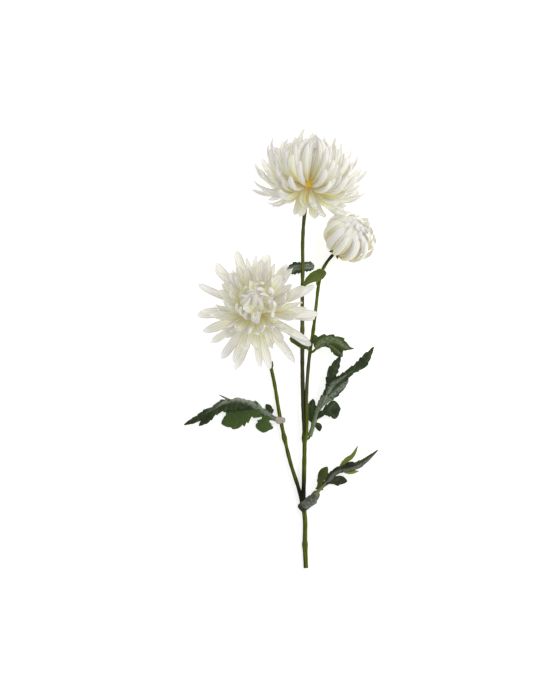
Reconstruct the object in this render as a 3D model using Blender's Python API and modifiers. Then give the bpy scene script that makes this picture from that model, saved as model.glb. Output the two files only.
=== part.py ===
"""A cut pompon chrysanthemum spray, laid down on a flat surface.

One stem with two side branches carries an open bloom at its top, a second open bloom on the
left branch and a half-open bud on the right branch, with seven lobed leaves between them.
The stem runs along +Y, the spray spreads along X, and +Z points up from the surface it lies on.
The origin is under the middle of the whole spray. Sizes below are in millimetres, and each
becomes metres where its mesh is made.
"""

from dataclasses import dataclass, replace

import bmesh
import bpy
import numpy as np

MM = 0.001
UP = np.array([0.0, 0.0, 1.0])

# Stem routes, from the cut end or the fork to the head that each carries
MAIN_STEM = (
    (29.2, -251.2, 2.8), (28.1, -223.6, 3.8), (28.1, -194.8, 5.0), (26.3, -177.6, 6.0),
    (26.9, -148.8, 7.6), (27.5, -100.5, 10.2), (25.8, -56.8, 12.2), (25.0, -10.0, 14.2),
    (25.0, 24.0, 16.2), (25.0, 60.0, 19.0), (25.4, 100.0, 24.5), (25.4, 127.0, 31.5),
    (26.8, 150.0, 38.6), (29.7, 173.1, 44.9),
)
LEFT_BRANCH = (
    (26.6, -184.0, 5.6), (21.5, -162.0, 6.6), (11.4, -129.8, 6.6), (4.8, -102.8, 5.8),
    (-1.8, -70.6, 5.4), (-7.6, -35.7, 5.0), (-14.1, -7.7, 4.4), (-19.5, 12.0, 3.9),
    (-24.2, 27.0, 3.9), (-27.5, 37.5, 5.6), (-28.7, 43.9, 11.7),
)
RIGHT_BRANCH = (
    (27.5, -106.0, 10.0), (29.6, -94.0, 11.8), (30.2, -75.0, 13.8), (29.8, -53.4, 14.9),
    (31.0, -30.0, 15.0), (33.9, -1.0, 14.8), (37.8, 24.5, 15.0), (41.0, 52.0, 15.0),
    (44.5, 78.9, 13.8), (48.8, 94.0, 10.8), (53.6, 102.4, 8.0), (58.8, 108.9, 6.8),
    (63.0, 113.2, 7.7),
)
CUT_END_RADIUS = 2.75
STEM_TOP_RADIUS = 2.05
LEFT_RADIUS = (2.3, 2.0)
RIGHT_RADIUS = (2.15, 1.85)
# Where a swollen joint sits along the main stem (Y), and how much it adds to the radius
STEM_JOINTS = ((-223.6, 0.9), (-181.0, 0.9), (-101.0, 0.8), (24.0, 0.3))
JOINT_HALF_LENGTH = 4.0
STEM_STEP = 18.0

# Petals
PETAL_THICKNESS = 1.0
PETAL_RINGS = (0.0, 0.35, 0.7, 0.93)
ROOT_WIDTH_SHARE = 0.42
CHANNEL_SHARE = 0.17
FULL_WIDTH_AT = 0.5
TIP_FROM = 0.78
ROOT_LIFT = 0.2  # radians, the least height of a root on the dome, so that it starts in the core
ROW_TURN = 0.37  # radians that each row is turned on from the one below it
# How far a petal strays from its row: a share of the step between petals, degrees, and shares
STRAY_PLACE = 0.16
STRAY_START = 6.0
STRAY_CURL = 9.0
STRAY_SWAY = 11.0
STRAY_TWIST = 14.0
STRAY_LENGTH = 0.07
STRAY_WIDTH = 0.08
# A petal that comes down to the surface eases into lying along it at this height
REST_HEIGHT = 0.55
REST_SOFTNESS = 7.0
# The left bloom's petals lie over stems and leaf ribs: the gap, and how near and far it acts
OVER_GAP = 2.6
OVER_NEAR = 8.0
OVER_FAR = 27.0

# Leaves
LEAF_THICKNESS = 0.7
TOUCH_GAP = 0.3
STALK_DROP = 0.35
STUB_RADIUS = 1.9
STUB_TIP_RADIUS = 1.4
LOBE_ROWS = (0.0, 0.22, 0.48, 0.72, 0.9, 1.0)
RIB_RADIUS = (1.3, 0.55)


@dataclass(frozen=True)
class PetalRow:
    """One whorl of petals: how many, where they point and how they curl."""

    count: int
    start: float  # degrees above the plane of the head at the root
    curl: float  # degrees that the petal turns up towards the axis
    length: float
    width: float


@dataclass(frozen=True)
class Head:
    """A flower head: rows of petals round one heart."""

    name: str
    seed: int
    heart: tuple
    axis: tuple
    rows: tuple
    dome: float  # radius of the small dome that the petals grow from
    core: tuple  # radii of the core, across and along the axis
    core_rise: float
    curl_power: float  # 1 curls evenly, more curls at the tip
    sway: float  # degrees, the sideways bend of every petal
    unevenness: float
    rests_on: tuple = ()
    neighbour: tuple = ()  # centre and radius of a ball that the petals are pushed clear of


HEAD_TOP = Head(
    name="bloom_top", seed=17, heart=(31.5, 188.0, 48.0), axis=(0.12, 0.97, 0.2),
    rows=(
        PetalRow(9, -52.0, 48.0, 48.0, 9.5),
        PetalRow(12, -32.0, 70.0, 61.0, 10.5),
        PetalRow(12, -9.0, 78.0, 65.5, 10.5),
        PetalRow(12, 14.0, 76.0, 65.5, 10.5),
        PetalRow(11, 35.0, 74.0, 62.0, 10.0),
        PetalRow(8, 55.0, 78.0, 57.0, 9.5),
        PetalRow(5, 74.0, 88.0, 48.0, 9.0),
    ),
    dome=9.0, core=(12.0, 10.0), core_rise=2.0, curl_power=1.8, sway=0.0, unevenness=1.0,
    neighbour=((80.6, 132.1, 28.6), 35.0),
)
HEAD_LEFT = Head(
    name="bloom_left", seed=6, heart=(-27.7, 46.7, 24.0), axis=(0.077, 0.187, 0.98),
    rows=(
        PetalRow(14, -24.0, 12.0, 64.0, 10.5),
        PetalRow(13, -6.0, 24.0, 61.0, 10.5),
        PetalRow(11, 13.0, 50.0, 57.0, 10.0),
        PetalRow(10, 29.0, 88.0, 57.0, 9.5),
        PetalRow(8, 43.0, 112.0, 55.0, 9.5),
        PetalRow(7, 58.0, 118.0, 48.0, 9.0),
        PetalRow(4, 74.0, 120.0, 40.0, 8.5),
    ),
    dome=9.0, core=(12.0, 10.0), core_rise=2.0, curl_power=1.35, sway=0.0, unevenness=1.0,
)
HEAD_BUD = Head(
    name="bud", seed=8, heart=(66.8, 117.3, 12.2), axis=(0.53, 0.57, 0.63),
    rows=(
        PetalRow(12, -6.0, 150.0, 63.0, 11.0),
        PetalRow(9, 9.0, 148.0, 60.0, 10.5),
        PetalRow(6, 30.0, 136.0, 56.0, 10.0),
        PetalRow(4, 56.0, 118.0, 50.0, 9.5),
    ),
    dome=4.5, core=(15.0, 19.0), core_rise=18.0, curl_power=1.0, sway=24.0, unevenness=0.45,
)


@dataclass(frozen=True)
class Calyx:
    """The green cup under a head, turned round the head's axis, and its ring of sepals."""

    name: str
    drop: float  # from the heart down to the rim
    depth: float  # from the heart down to the foot
    rim: float
    sepals: int
    start: float  # degrees above the plane of the head at the root
    curl: float
    length: float
    width: float


CALYX_TOP = Calyx("calyx_top", 0.4, 15.0, 6.4, sepals=6, start=-62.0, curl=10.0, length=9.0, width=5.4)
CALYX_LEFT = Calyx("calyx_left", 0.4, 11.5, 6.4, sepals=6, start=-58.0, curl=10.0, length=8.0, width=5.2)
CALYX_BUD = Calyx("calyx_bud", 0.35, 5.6, 4.2, sepals=7, start=-16.0, curl=26.0, length=13.0, width=5.5)
CALYX_FOOT_RADIUS = 2.5
SEPAL_THICKNESS = 0.9
SEPAL_SINK = 1.2
SEPAL_LOWEST = 0.4


@dataclass(frozen=True)
class Lobe:
    """One side lobe of a leaf: the route of its vein and its widest half-width."""

    vein: tuple
    half: float
    widest: float = 0.55


@dataclass(frozen=True)
class Leaf:
    """A leaf: the route of its midrib, its rows of (station, left, right) and its lobes.

    A station is measured along the midrib. folds holds rows of (station, left, right) in
    degrees, the angle by which each half rises above the level. stalk is the length of midrib
    that carries the round leaf stalk under the blade. root is the point on the stem's centre
    line that the leaf grows from, and seat is the end of the stub there, where the leaf starts
    over the stem and not beside it.
    """

    name: str
    midrib: tuple
    rows: tuple
    folds: tuple
    lobes: tuple
    stalk: tuple
    root: tuple
    seat: tuple = ()


LEAVES = (
    Leaf(
        name="leaf_left",
        midrib=(
            (5.6, -79.6, 9.6), (-1.8, -80.2, 9.8), (-9.3, -77.3, 11.0), (-17.4, -71.8, 14.0),
            (-26.0, -66.0, 18.0), (-37.5, -60.3, 21.5), (-49.0, -58.0, 22.0),
            (-62.8, -60.3, 19.0), (-77.7, -67.7, 12.5), (-93.8, -76.7, 6.5),
            (-111.1, -85.6, 2.6),
        ),
        rows=(
            (0, 3.5, 3.5), (4, 5.5, 5.0), (9, 5.5, 5.0), (13, 1.8, 1.8), (19, 2.0, 2.0),
            (26, 4.0, 7.0), (36, 6.0, 14.0), (50, 9.0, 15.0), (66, 12.0, 13.0),
            (82, 13.0, 12.0), (92, 10.0, 10.0), (101, 11.0, 8.0), (112, 7.5, 6.0),
            (123, 4.5, 4.0), (134, 0.6, 0.6),
        ),
        folds=((0, -6, -6), (16, -6, -10), (30, -22, -52), (60, -24, -64), (95, -18, -45),
               (134, -8, -12)),
        lobes=(
            Lobe(((-24.5, -66.8, 17.4), (-38.0, -72.0, 15.0), (-52.0, -78.0, 10.0),
                  (-68.5, -84.5, 4.5)), 11.0, 0.6),
            Lobe(((-15.0, -73.5, 13.0), (-18.5, -84.0, 9.0), (-20.0, -95.0, 4.0)), 10.0, 0.6),
            Lobe(((-14.5, -73.8, 12.6), (-14.0, -65.0, 8.0), (-19.0, -58.0, 3.2)), 6.5, 0.5),
            Lobe(((-74.0, -66.0, 14.0), (-85.0, -78.5, 7.5), (-94.5, -87.0, 2.6)), 6.0, 0.5),
        ),
        stalk=(12.0, 62.0),
        root=(2.4, -79.8, 5.5), seat=(2.0, -80.0, 8.4),
    ),
    Leaf(
        name="leaf_right",
        midrib=(
            (33.6, -98.8, 8.5), (36.9, -88.9, 9.6), (39.9, -78.7, 10.6), (42.4, -69.8, 12.0),
            (48.0, -60.5, 15.0), (53.1, -49.9, 18.5), (60.3, -38.4, 22.0), (69.9, -31.7, 24.5),
            (83.1, -23.0, 25.5), (92.6, -16.3, 24.5), (99.9, -9.1, 22.5), (107.3, 4.1, 19.0),
        ),
        rows=(
            (8, 1.4, 1.4), (14, 4.0, 2.6), (24, 5.0, 3.2), (36, 5.0, 3.2), (46, 6.5, 3.2),
            (56, 7.5, 5.0), (68, 8.5, 8.0), (82, 9.0, 8.0), (94, 6.0, 5.0), (104, 8.0, 8.0),
            (114, 9.0, 6.5), (124, 6.5, 4.0), (134, 0.6, 0.6),
        ),
        folds=((0, -10, -10), (20, -30, -12), (45, -20, -15), (134, -6, -28)),
        lobes=(
            Lobe(((52.4, -51.4, 18.0), (57.0, -32.0, 20.0), (62.5, -19.0, 18.5),
                  (69.0, -6.5, 14.5)), 8.0, 0.5),
            Lobe(((40.6, -76.0, 10.9), (53.5, -70.0, 10.5), (69.5, -66.8, 5.0)), 11.5, 0.62),
            Lobe(((45.6, -65.0, 13.5), (59.0, -52.0, 14.0), (78.5, -34.5, 13.0)), 7.0, 0.55),
            Lobe(((37.6, -86.5, 9.8), (34.6, -72.0, 6.4), (36.5, -55.5, 4.4)), 5.5, 0.55),
            Lobe(((37.0, -88.5, 9.6), (41.5, -89.8, 8.8), (44.6, -94.4, 6.6)), 3.6, 0.5),
        ),
        stalk=(0.0, 60.0),
        root=(27.6, -103.5, 10.0),
    ),
    Leaf(
        name="leaf_low",
        midrib=(
            (21.7, -183.3, 10.2), (27.5, -178.1, 11.0), (34.4, -172.2, 11.2),
            (40.7, -165.3, 11.2), (45.9, -159.5, 12.0), (51.4, -153.4, 13.0),
            (56.9, -146.4, 15.0), (61.8, -141.0, 17.0), (67.0, -137.9, 18.5),
            (75.9, -136.3, 19.5), (84.6, -134.2, 19.0), (94.1, -129.5, 17.0),
            (104.2, -122.1, 14.0), (112.4, -114.7, 11.0),
        ),
        rows=(
            (0, 3.0, 4.5), (5, 5.5, 8.0), (12, 5.0, 9.0), (21, 3.0, 8.5), (27, 3.0, 5.5),
            (31, 1.6, 1.8), (38, 1.8, 3.0), (48, 3.5, 6.0), (58, 5.0, 6.5), (70, 6.5, 5.0),
            (80, 9.0, 6.0), (88, 6.5, 6.5), (98, 4.5, 4.0), (108, 2.6, 2.4), (118.6, 0.6, 0.6),
        ),
        folds=((0, -14, -14), (26, -14, -16), (38, 10, -18), (118.6, 2, -24)),
        lobes=(
            Lobe(((44.6, -161.0, 11.8), (46.5, -148.8, 14.5), (53.8, -133.6, 18.0)), 7.0, 0.62),
            Lobe(((67.0, -137.9, 18.4), (76.0, -126.5, 17.5), (82.5, -121.5, 15.5),
                  (89.4, -109.4, 11.0)), 3.4, 0.35),
            Lobe(((52.2, -152.4, 13.2), (63.0, -150.0, 12.0), (77.3, -150.6, 6.5)), 7.0, 0.6),
            Lobe(((68.5, -137.6, 18.6), (79.5, -140.4, 14.5), (90.7, -139.0, 9.5)), 2.6, 0.5),
        ),
        stalk=(24.0, 74.0),
        root=(26.3, -179.0, 6.0), seat=(26.8, -178.8, 9.6),
    ),
    Leaf(
        name="leaf_middle_right",
        midrib=(
            (39.4, 0.6, 17.6), (43.7, 4.6, 19.4), (50.5, 8.4, 21.6), (58.0, 11.3, 24.0),
            (64.9, 9.9, 25.6), (71.8, 5.8, 25.6), (78.7, 2.5, 24.0), (83.6, 2.3, 22.0),
        ),
        rows=(
            (2, 1.3, 1.3), (7, 9.0, 1.6), (14, 9.5, 2.2), (21, 6.5, 5.0), (28, 7.5, 7.0),
            (37, 8.5, 7.0), (44, 5.0, 4.0), (48, 2.0, 1.5), (51.9, 0.6, 0.6),
        ),
        folds=((0, 4, -12), (20, 2, -16), (51.9, -14, -16)),
        lobes=(
            Lobe(((42.0, 3.2, 18.8), (41.5, 11.0, 18.8), (38.8, 18.6, 18.6)), 4.6, 0.55),
            Lobe(((52.5, 9.0, 22.2), (63.0, 2.0, 21.0), (71.4, -7.4, 18.6)), 7.0, 0.6),
        ),
        stalk=(0.0, 30.0),
        root=(34.0, -2.6, 14.8),
    ),
    Leaf(
        name="leaf_middle_left",
        midrib=((32.0, 1.6, 18.2), (29.4, 4.6, 19.3), (24.6, 9.3, 20.0), (17.7, 12.9, 20.2),
                (11.2, 13.8, 19.4)),
        rows=((1, 1.2, 1.2), (4, 3.2, 5.0), (9, 4.2, 6.0), (15, 4.2, 4.6), (21, 4.4, 4.4),
              (24.5, 3.2, 3.0), (26.4, 0.8, 0.8)),
        folds=((0, -6, -6), (26.4, -10, -10)),
        lobes=(),
        stalk=(0.0, 14.0),
        root=(34.0, -0.6, 14.8),
    ),
    Leaf(
        name="leaf_bud",
        midrib=((52.4, 90.6, 17.2), (47.6, 88.5, 18.2), (40.7, 84.9, 20.6), (32.7, 80.0, 24.4),
                (23.9, 71.4, 25.4)),
        rows=((0, 3.0, 3.0), (3, 5.5, 7.0), (9, 6.8, 8.0), (15, 5.2, 7.8), (21, 3.8, 6.6),
              (28, 2.0, 3.8), (35.8, 0.6, 0.6)),
        folds=((0, -20, -20), (12, -8, -14), (35.8, -5, -10)),
        lobes=(),
        stalk=(),
        root=(47.0, 88.2, 12.6), seat=(47.2, 88.4, 16.6),
    ),
    Leaf(
        name="leaf_back",
        midrib=((39.0, 97.9, 13.5), (32.7, 97.3, 18.0), (26.1, 96.4, 20.0), (17.7, 95.4, 16.0),
                (9.7, 92.7, 11.0), (2.5, 87.5, 6.0)),
        rows=((0, 3.0, 3.0), (3, 5.5, 5.5), (9, 7.0, 6.5), (15, 6.5, 5.5), (23, 8.0, 8.5),
              (31, 8.0, 6.0), (38, 5.0, 3.5), (44.4, 0.6, 0.6)),
        folds=((0, -6, -6), (44.4, -6, -6)),
        lobes=(),
        stalk=(),
        root=(25.4, 96.6, 23.9), seat=(25.9, 96.5, 20.8),
    ),
)


def unit(vectors):
    """The vectors, each made one long."""
    vectors = np.asarray(vectors, float)
    return vectors / np.linalg.norm(vectors, axis=-1, keepdims=True)


def smooth_route(points, stations):
    """Points on a smooth curve through points, at the given distances along its chords."""
    points = np.asarray(points, float)
    knots = np.concatenate([[0.0], np.cumsum(np.linalg.norm(np.diff(points, axis=0), axis=1))])
    slopes = np.gradient(points, knots, axis=0)
    stations = np.asarray(stations, float)
    span = np.clip(np.searchsorted(knots, stations, side="right") - 1, 0, len(knots) - 2)
    width = (knots[span + 1] - knots[span])[:, None]
    t = (stations - knots[span])[:, None] / width
    beyond = np.maximum(t - 1.0, 0.0) * width
    t = np.minimum(t, 1.0)
    return (
        (2 * t**3 - 3 * t**2 + 1) * points[span]
        + (t**3 - 2 * t**2 + t) * width * slopes[span]
        + (3 * t**2 - 2 * t**3) * points[span + 1]
        + (t**3 - t**2) * width * slopes[span + 1]
        + beyond * slopes[span + 1]
    )


def chord_length(points):
    """The length of the straight runs between the points."""
    return float(np.linalg.norm(np.diff(np.asarray(points, float), axis=0), axis=1).sum())


def clear_scene():
    """Removes the objects that the file starts with."""
    for obj in list(bpy.data.objects):
        bpy.data.objects.remove(obj)


def make_material(name, rgb, roughness):
    """A Principled material of one colour."""
    material = bpy.data.materials.new(name)
    material.use_nodes = True
    shader = material.node_tree.nodes["Principled BSDF"]
    shader.inputs["Base Color"].default_value = (*rgb, 1.0)
    shader.inputs["Roughness"].default_value = roughness
    shader.inputs["Metallic"].default_value = 0.0
    return material


def add_object(name, mesh, collection):
    """Links the mesh into the collection as an object."""
    obj = bpy.data.objects.new(name, mesh)
    collection.objects.link(obj)
    return obj


def add_mesh(name, points, faces, collection):
    """An object from points in millimetres and faces."""
    mesh = bpy.data.meshes.new(name)
    mesh.from_pydata((np.asarray(points) * MM).tolist(), [], faces)
    mesh.update()
    return add_object(name, mesh, collection)


def add_tube(name, route, radii, collection, sides=8):
    """A round bar along the route, as a mesh with welded end caps."""
    curve = bpy.data.curves.new(name, "CURVE")
    curve.dimensions = "3D"
    curve.bevel_depth = MM
    curve.bevel_resolution = (sides - 4) // 2
    curve.use_fill_caps = True
    spline = curve.splines.new("POLY")
    spline.points.add(len(route) - 1)
    for point, place, radius in zip(spline.points, route, radii):
        point.co = (*(np.asarray(place) * MM), 1.0)
        point.radius = float(radius)
    guide = add_object(name + "_guide", curve, collection)
    graph = bpy.context.evaluated_depsgraph_get()
    mesh = bpy.data.meshes.new_from_object(guide.evaluated_get(graph))
    bpy.data.objects.remove(guide)
    work = bmesh.new()
    work.from_mesh(mesh)
    bmesh.ops.remove_doubles(work, verts=work.verts, dist=0.02 * MM)
    bmesh.ops.recalc_face_normals(work, faces=work.faces)
    work.to_mesh(mesh)
    work.free()
    return add_object(name, mesh, collection)


def fuse(name, pieces, material, collection, helpers, solver="EXACT"):
    """One body from overlapping pieces, by one Boolean union on a collection."""
    base, others = pieces[0], pieces[1:]
    for piece in others:
        collection.objects.unlink(piece)
        helpers.objects.link(piece)
        piece.hide_render = True
        piece.display_type = "WIRE"
    if others:
        union = base.modifiers.new("union", "BOOLEAN")
        union.operation = "UNION"
        union.operand_type = "COLLECTION"
        union.collection = helpers
        union.solver = solver
    graph = bpy.context.evaluated_depsgraph_get()
    mesh = bpy.data.meshes.new_from_object(base.evaluated_get(graph))
    for piece in pieces:
        bpy.data.objects.remove(piece)
    mesh.name = name
    fill_hollows(mesh)
    mesh.materials.clear()
    mesh.materials.append(material)
    return add_object(name, mesh, collection)


def fill_hollows(mesh):
    """Keeps the outer skin and drops the sealed hollows and scraps that a union left."""
    work = bmesh.new()
    work.from_mesh(mesh)
    unseen = set(work.verts)
    skins = []
    while unseen:
        stack = [unseen.pop()]
        skin = set(stack)
        while stack:
            for edge in stack.pop().link_edges:
                for vertex in edge.verts:
                    if vertex in unseen:
                        unseen.discard(vertex)
                        skin.add(vertex)
                        stack.append(vertex)
        skins.append(skin)
    skins.sort(key=len)
    for skin in skins[:-1]:
        bmesh.ops.delete(work, geom=list(skin), context="VERTS")
    work.to_mesh(mesh)
    work.free()


def over_stems(places, stems):
    """The height that keeps a petal clear above the stems and leaf ribs that it crosses."""
    height = np.zeros(len(places))
    for route, radius in stems:
        line = smooth_route(route, np.arange(0.0, chord_length(route), 4.0))
        apart = np.linalg.norm(places[:, None, :2] - line[None, :, :2], axis=2)
        near = np.clip((OVER_FAR - apart) / (OVER_FAR - OVER_NEAR), 0.0, 1.0)
        near = near * near * (3.0 - 2.0 * near)
        height = np.maximum(height, (near * (line[:, 2] + radius + OVER_GAP)).max(axis=1))
    return height


def head_frame(head):
    """The two directions across the head's axis, and the axis."""
    axis = unit(head.axis)
    side = unit(np.cross(UP if abs(axis[2]) < 0.9 else np.array([0.0, -1.0, 0.0]), axis))
    return np.array([side, np.cross(axis, side), axis])


def petal_draws(head):
    """Every petal's (azimuth, start, curl, length, width, sway, twist), angles in radians."""
    rng = np.random.default_rng(head.seed)
    rough = head.unevenness
    draws = []
    for number, row in enumerate(head.rows):
        for index in range(row.count):
            shake = rng.uniform(-1.0, 1.0, 7)
            draws.append((
                2 * np.pi * (index + 0.5 * (number % 2) + STRAY_PLACE * rough * shake[0]) / row.count
                + ROW_TURN * number,
                np.radians(row.start + STRAY_START * rough * shake[1]),
                np.radians(row.curl + STRAY_CURL * rough * shake[2]),
                row.length * (1.0 + STRAY_LENGTH * rough * shake[3]),
                row.width * (1.0 + STRAY_WIDTH * shake[4]),
                np.radians(head.sway + STRAY_SWAY * rough * shake[5]),
                np.radians(STRAY_TWIST * rough * shake[6]),
            ))
    return draws


def petal_line(head, draw, at):
    """Centre, side and inner directions of one petal at the shares at of its length."""
    azimuth, start, curl, length, _, sway, twist = draw
    fine = np.linspace(0.0, 1.0, 49)
    rise = start + curl * fine**head.curl_power
    turn = azimuth + sway * fine
    ahead = np.stack([np.cos(rise) * np.cos(turn), np.cos(rise) * np.sin(turn), np.sin(rise)], 1)
    steps = 0.5 * (ahead[1:] + ahead[:-1]) * length / (len(fine) - 1)
    lift = max(start, ROOT_LIFT)
    root = head.dome * np.array([
        np.cos(lift) * np.cos(azimuth), np.cos(lift) * np.sin(azimuth), np.sin(lift)
    ])
    centre = root + np.vstack([np.zeros(3), np.cumsum(steps, axis=0)])
    frame = head_frame(head)
    centre = np.asarray(head.heart) + centre @ frame
    across = np.stack([-np.sin(turn), np.cos(turn), np.zeros(len(fine))], 1) @ frame
    inner = np.cross(ahead @ frame, across)
    angle = (twist * fine)[:, None]
    across = np.cos(angle) * across + np.sin(angle) * inner
    rest = np.maximum(REST_HEIGHT, over_stems(centre, head.rests_on))
    drop = np.minimum((centre[:, 2] - rest - REST_SOFTNESS) / REST_SOFTNESS, 0.0)
    settled = rest + REST_SOFTNESS * np.exp(drop)
    low = centre[:, 2] < rest + REST_SOFTNESS
    centre[:, 2] = np.where(low, settled, centre[:, 2])
    across[:, 2] *= np.where(low, np.exp(drop), 1.0)
    if head.neighbour:
        away = centre - np.asarray(head.neighbour[0])
        apart = np.linalg.norm(away, axis=1, keepdims=True)
        centre = centre + away / apart * np.maximum(head.neighbour[1] - apart, 0.0)
    ahead = unit(np.gradient(centre, axis=0))
    across = unit(across - (across * ahead).sum(axis=1, keepdims=True) * ahead)
    inner = np.cross(ahead, across)
    pick = [np.array([np.interp(at, fine, part[:, k]) for k in range(3)]).T
            for part in (centre, across, inner)]
    return pick[0], unit(pick[1]), unit(pick[2])


def petal_half_width(width, t):
    """A strap that widens from its root and ends in a round tip."""
    grown = np.clip(t / FULL_WIDTH_AT, 0.0, 1.0)
    grown = grown * grown * (3.0 - 2.0 * grown)
    tip = np.clip((t - TIP_FROM) / (1.0 - TIP_FROM), 0.0, 1.0)
    share = ROOT_WIDTH_SHARE + (1.0 - ROOT_WIDTH_SHARE) * grown
    return 0.5 * width * share * np.sqrt(1.0 - tip * tip)


def blade_faces(rings):
    """Triangles of a loft of four-cornered rings with a flat root and a pointed tip."""
    faces = [(0, 3, 2), (0, 2, 1)]
    for ring in range(rings - 1):
        low, high = 4 * ring, 4 * ring + 4
        for first, second in ((0, 1), (1, 2), (2, 3), (3, 0)):
            a, b, c, d = low + first, low + second, high + second, high + first
            # Both faces beside an edge are split from that edge, so they never cross
            if first in (0, 2):
                faces += [(a, b, d), (b, c, d)]
            else:
                faces += [(a, b, c), (a, c, d)]
    last, tip = 4 * (rings - 1), 4 * rings
    faces += [(last + k, last + (k + 1) % 4, tip) for k in range(4)]
    return faces


def add_petal(head, draw, collection):
    """One channelled petal: a loft of four-cornered sections, closed by a pointed tip."""
    at = np.array(PETAL_RINGS + (1.0,))
    centre, across, inner = petal_line(head, draw, at)
    half = petal_half_width(draw[4], at)[:, None]
    edge = 2.0 * CHANNEL_SHARE * half * inner
    thick = 0.5 * PETAL_THICKNESS * inner
    sections = np.stack(
        [centre - half * across + edge, centre - thick, centre + half * across + edge,
         centre + thick], axis=1
    )[:-1]
    points = np.vstack([sections.reshape(-1, 3), centre[-1:]])
    faces = blade_faces(len(PETAL_RINGS))
    return add_mesh(head.name + "_petal", points, faces, collection)


def add_core(head, collection):
    """The small core that the petals grow out of."""
    work = bmesh.new()
    bmesh.ops.create_uvsphere(work, u_segments=10, v_segments=7, radius=1.0)
    frame = head_frame(head)
    centre = np.asarray(head.heart) + head.core_rise * frame[2]
    scale = np.array([head.core[0], head.core[0], head.core[1]])
    for vertex in work.verts:
        place = np.array(vertex.co) * scale
        place[2] = max(place[2], -head.core_rise)
        vertex.co = (centre + place @ frame) * MM
    mesh = bpy.data.meshes.new(head.name + "_core")
    work.to_mesh(mesh)
    work.free()
    return add_object(head.name + "_core", mesh, collection)


def build_head(head, material, collection, helpers):
    """A flower head: its core and all its petals as one body."""
    pieces = [add_core(head, collection)]
    pieces += [add_petal(head, draw, collection) for draw in petal_draws(head)]
    return fuse(head.name, pieces, material, collection, helpers, solver="MANIFOLD")


def leaf_frame(midrib, stations):
    """Centre, forward, level side and upward directions along a midrib."""
    centre = smooth_route(midrib, stations)
    ahead = unit(smooth_route(midrib, stations + 0.5) - smooth_route(midrib, stations - 0.5))
    right = unit(np.cross(ahead, UP))
    return centre, ahead, right, np.cross(right, ahead)


def add_blade(name, midrib, stations, left, right, folds, collection):
    """A thin blade folded at its midrib, as an open surface with its thickness from Solidify."""
    centre, _, side, upward = leaf_frame(midrib, stations)
    fold = [np.radians(np.interp(stations, [f[0] for f in folds], [f[k] for f in folds]))
            for k in (1, 2)]
    left_edge = centre + left[:, None] * (
        np.sin(fold[0])[:, None] * upward - np.cos(fold[0])[:, None] * side)
    right_edge = centre + right[:, None] * (
        np.sin(fold[1])[:, None] * upward + np.cos(fold[1])[:, None] * side)
    grid = np.stack([left_edge, centre, right_edge], axis=1)
    grid[..., 2] = np.maximum(grid[..., 2], LEAF_THICKNESS)
    count, across = grid.shape[:2]
    faces = []
    for row in range(count - 1):
        for column in range(across - 1):
            a = row * across + column
            faces.append((a, a + 1, a + across + 1, a + across))
    blade = add_mesh(name, grid.reshape(-1, 3), faces, collection)
    work = bmesh.new()
    work.from_mesh(blade.data)
    bmesh.ops.triangulate(work, faces=work.faces)
    work.to_mesh(blade.data)
    work.free()
    shell = blade.modifiers.new("thickness", "SOLIDIFY")
    shell.thickness = LEAF_THICKNESS * MM
    shell.offset = 0.0
    graph = bpy.context.evaluated_depsgraph_get()
    solid = bpy.data.meshes.new_from_object(blade.evaluated_get(graph))
    bpy.data.objects.remove(blade)
    return add_object(name, solid, collection)


def lobe_half(lobe, t):
    """Half-width of a lobe: nothing at its root and tip, widest at the share lobe.widest."""
    bend = np.log(0.5) / np.log(lobe.widest)
    return np.maximum(lobe.half * np.sin(np.pi * t**bend) ** 0.75, 0.5)


def build_leaf(leaf, material, collection, helpers):
    """A leaf: main blade, side lobes and the round stalk under its midrib, as one body."""
    rows = np.array(leaf.rows, float)
    pieces = [add_blade(leaf.name, leaf.midrib, rows[:, 0], rows[:, 1], rows[:, 2], leaf.folds,
                        collection)]
    for lobe in leaf.lobes:
        t = np.array(LOBE_ROWS)
        half = lobe_half(lobe, t)
        pieces.append(add_blade(leaf.name + "_lobe", lobe.vein, t * chord_length(lobe.vein),
                                half, half, ((0, -4, -4),), collection))
    if leaf.stalk:
        stations = np.linspace(leaf.stalk[0], leaf.stalk[1], 6)
        centre, _, _, upward = leaf_frame(leaf.midrib, stations)
        radii = np.linspace(RIB_RADIUS[0], RIB_RADIUS[1], len(stations))
        pieces.append(add_tube(leaf.name + "_stalk", centre - STALK_DROP * upward, radii, collection,
                               sides=6))
    return fuse(leaf.name, pieces, material, collection, helpers)


def stem_radius(route, first, last):
    """Radii along a route: an even taper, with a swelling at each joint of the main stem."""
    share = np.linspace(0.0, 1.0, len(route))
    radii = first + (last - first) * share
    for place, extra in STEM_JOINTS:
        radii = radii + extra * np.exp(-(((route[:, 1] - place) / JOINT_HALF_LENGTH) ** 2))
    return radii


def build_stem(material, collection, helpers):
    """The main stem, its two branches and the stub of each leaf, as one body."""
    stations = np.arange(0.0, chord_length(MAIN_STEM), STEM_STEP)
    places = np.concatenate([stations, [chord_length(MAIN_STEM)]])
    extra = [place - MAIN_STEM[0][1] + offset for place, _ in STEM_JOINTS for offset in (-5, 0, 5)]
    places = np.unique(np.round(np.concatenate([places, extra]), 0))
    places[-1] = chord_length(MAIN_STEM)
    route = smooth_route(MAIN_STEM, places)
    pieces = [add_tube("stem", route, stem_radius(route, CUT_END_RADIUS, STEM_TOP_RADIUS),
                       collection, sides=8)]
    for branch, radii in ((LEFT_BRANCH, LEFT_RADIUS), (RIGHT_BRANCH, RIGHT_RADIUS)):
        length = chord_length(branch)
        bend = length - 24.0
        places = np.concatenate([np.arange(0.0, bend, STEM_STEP), np.linspace(bend, length, 7)])
        route = smooth_route(branch, places)
        pieces.append(add_tube("branch", route, np.linspace(*radii, len(route)), collection,
                               sides=8))
    for leaf in LEAVES:
        pieces.append(add_stub(leaf, collection))
    return fuse("stem", pieces, material, collection, helpers)


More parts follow.
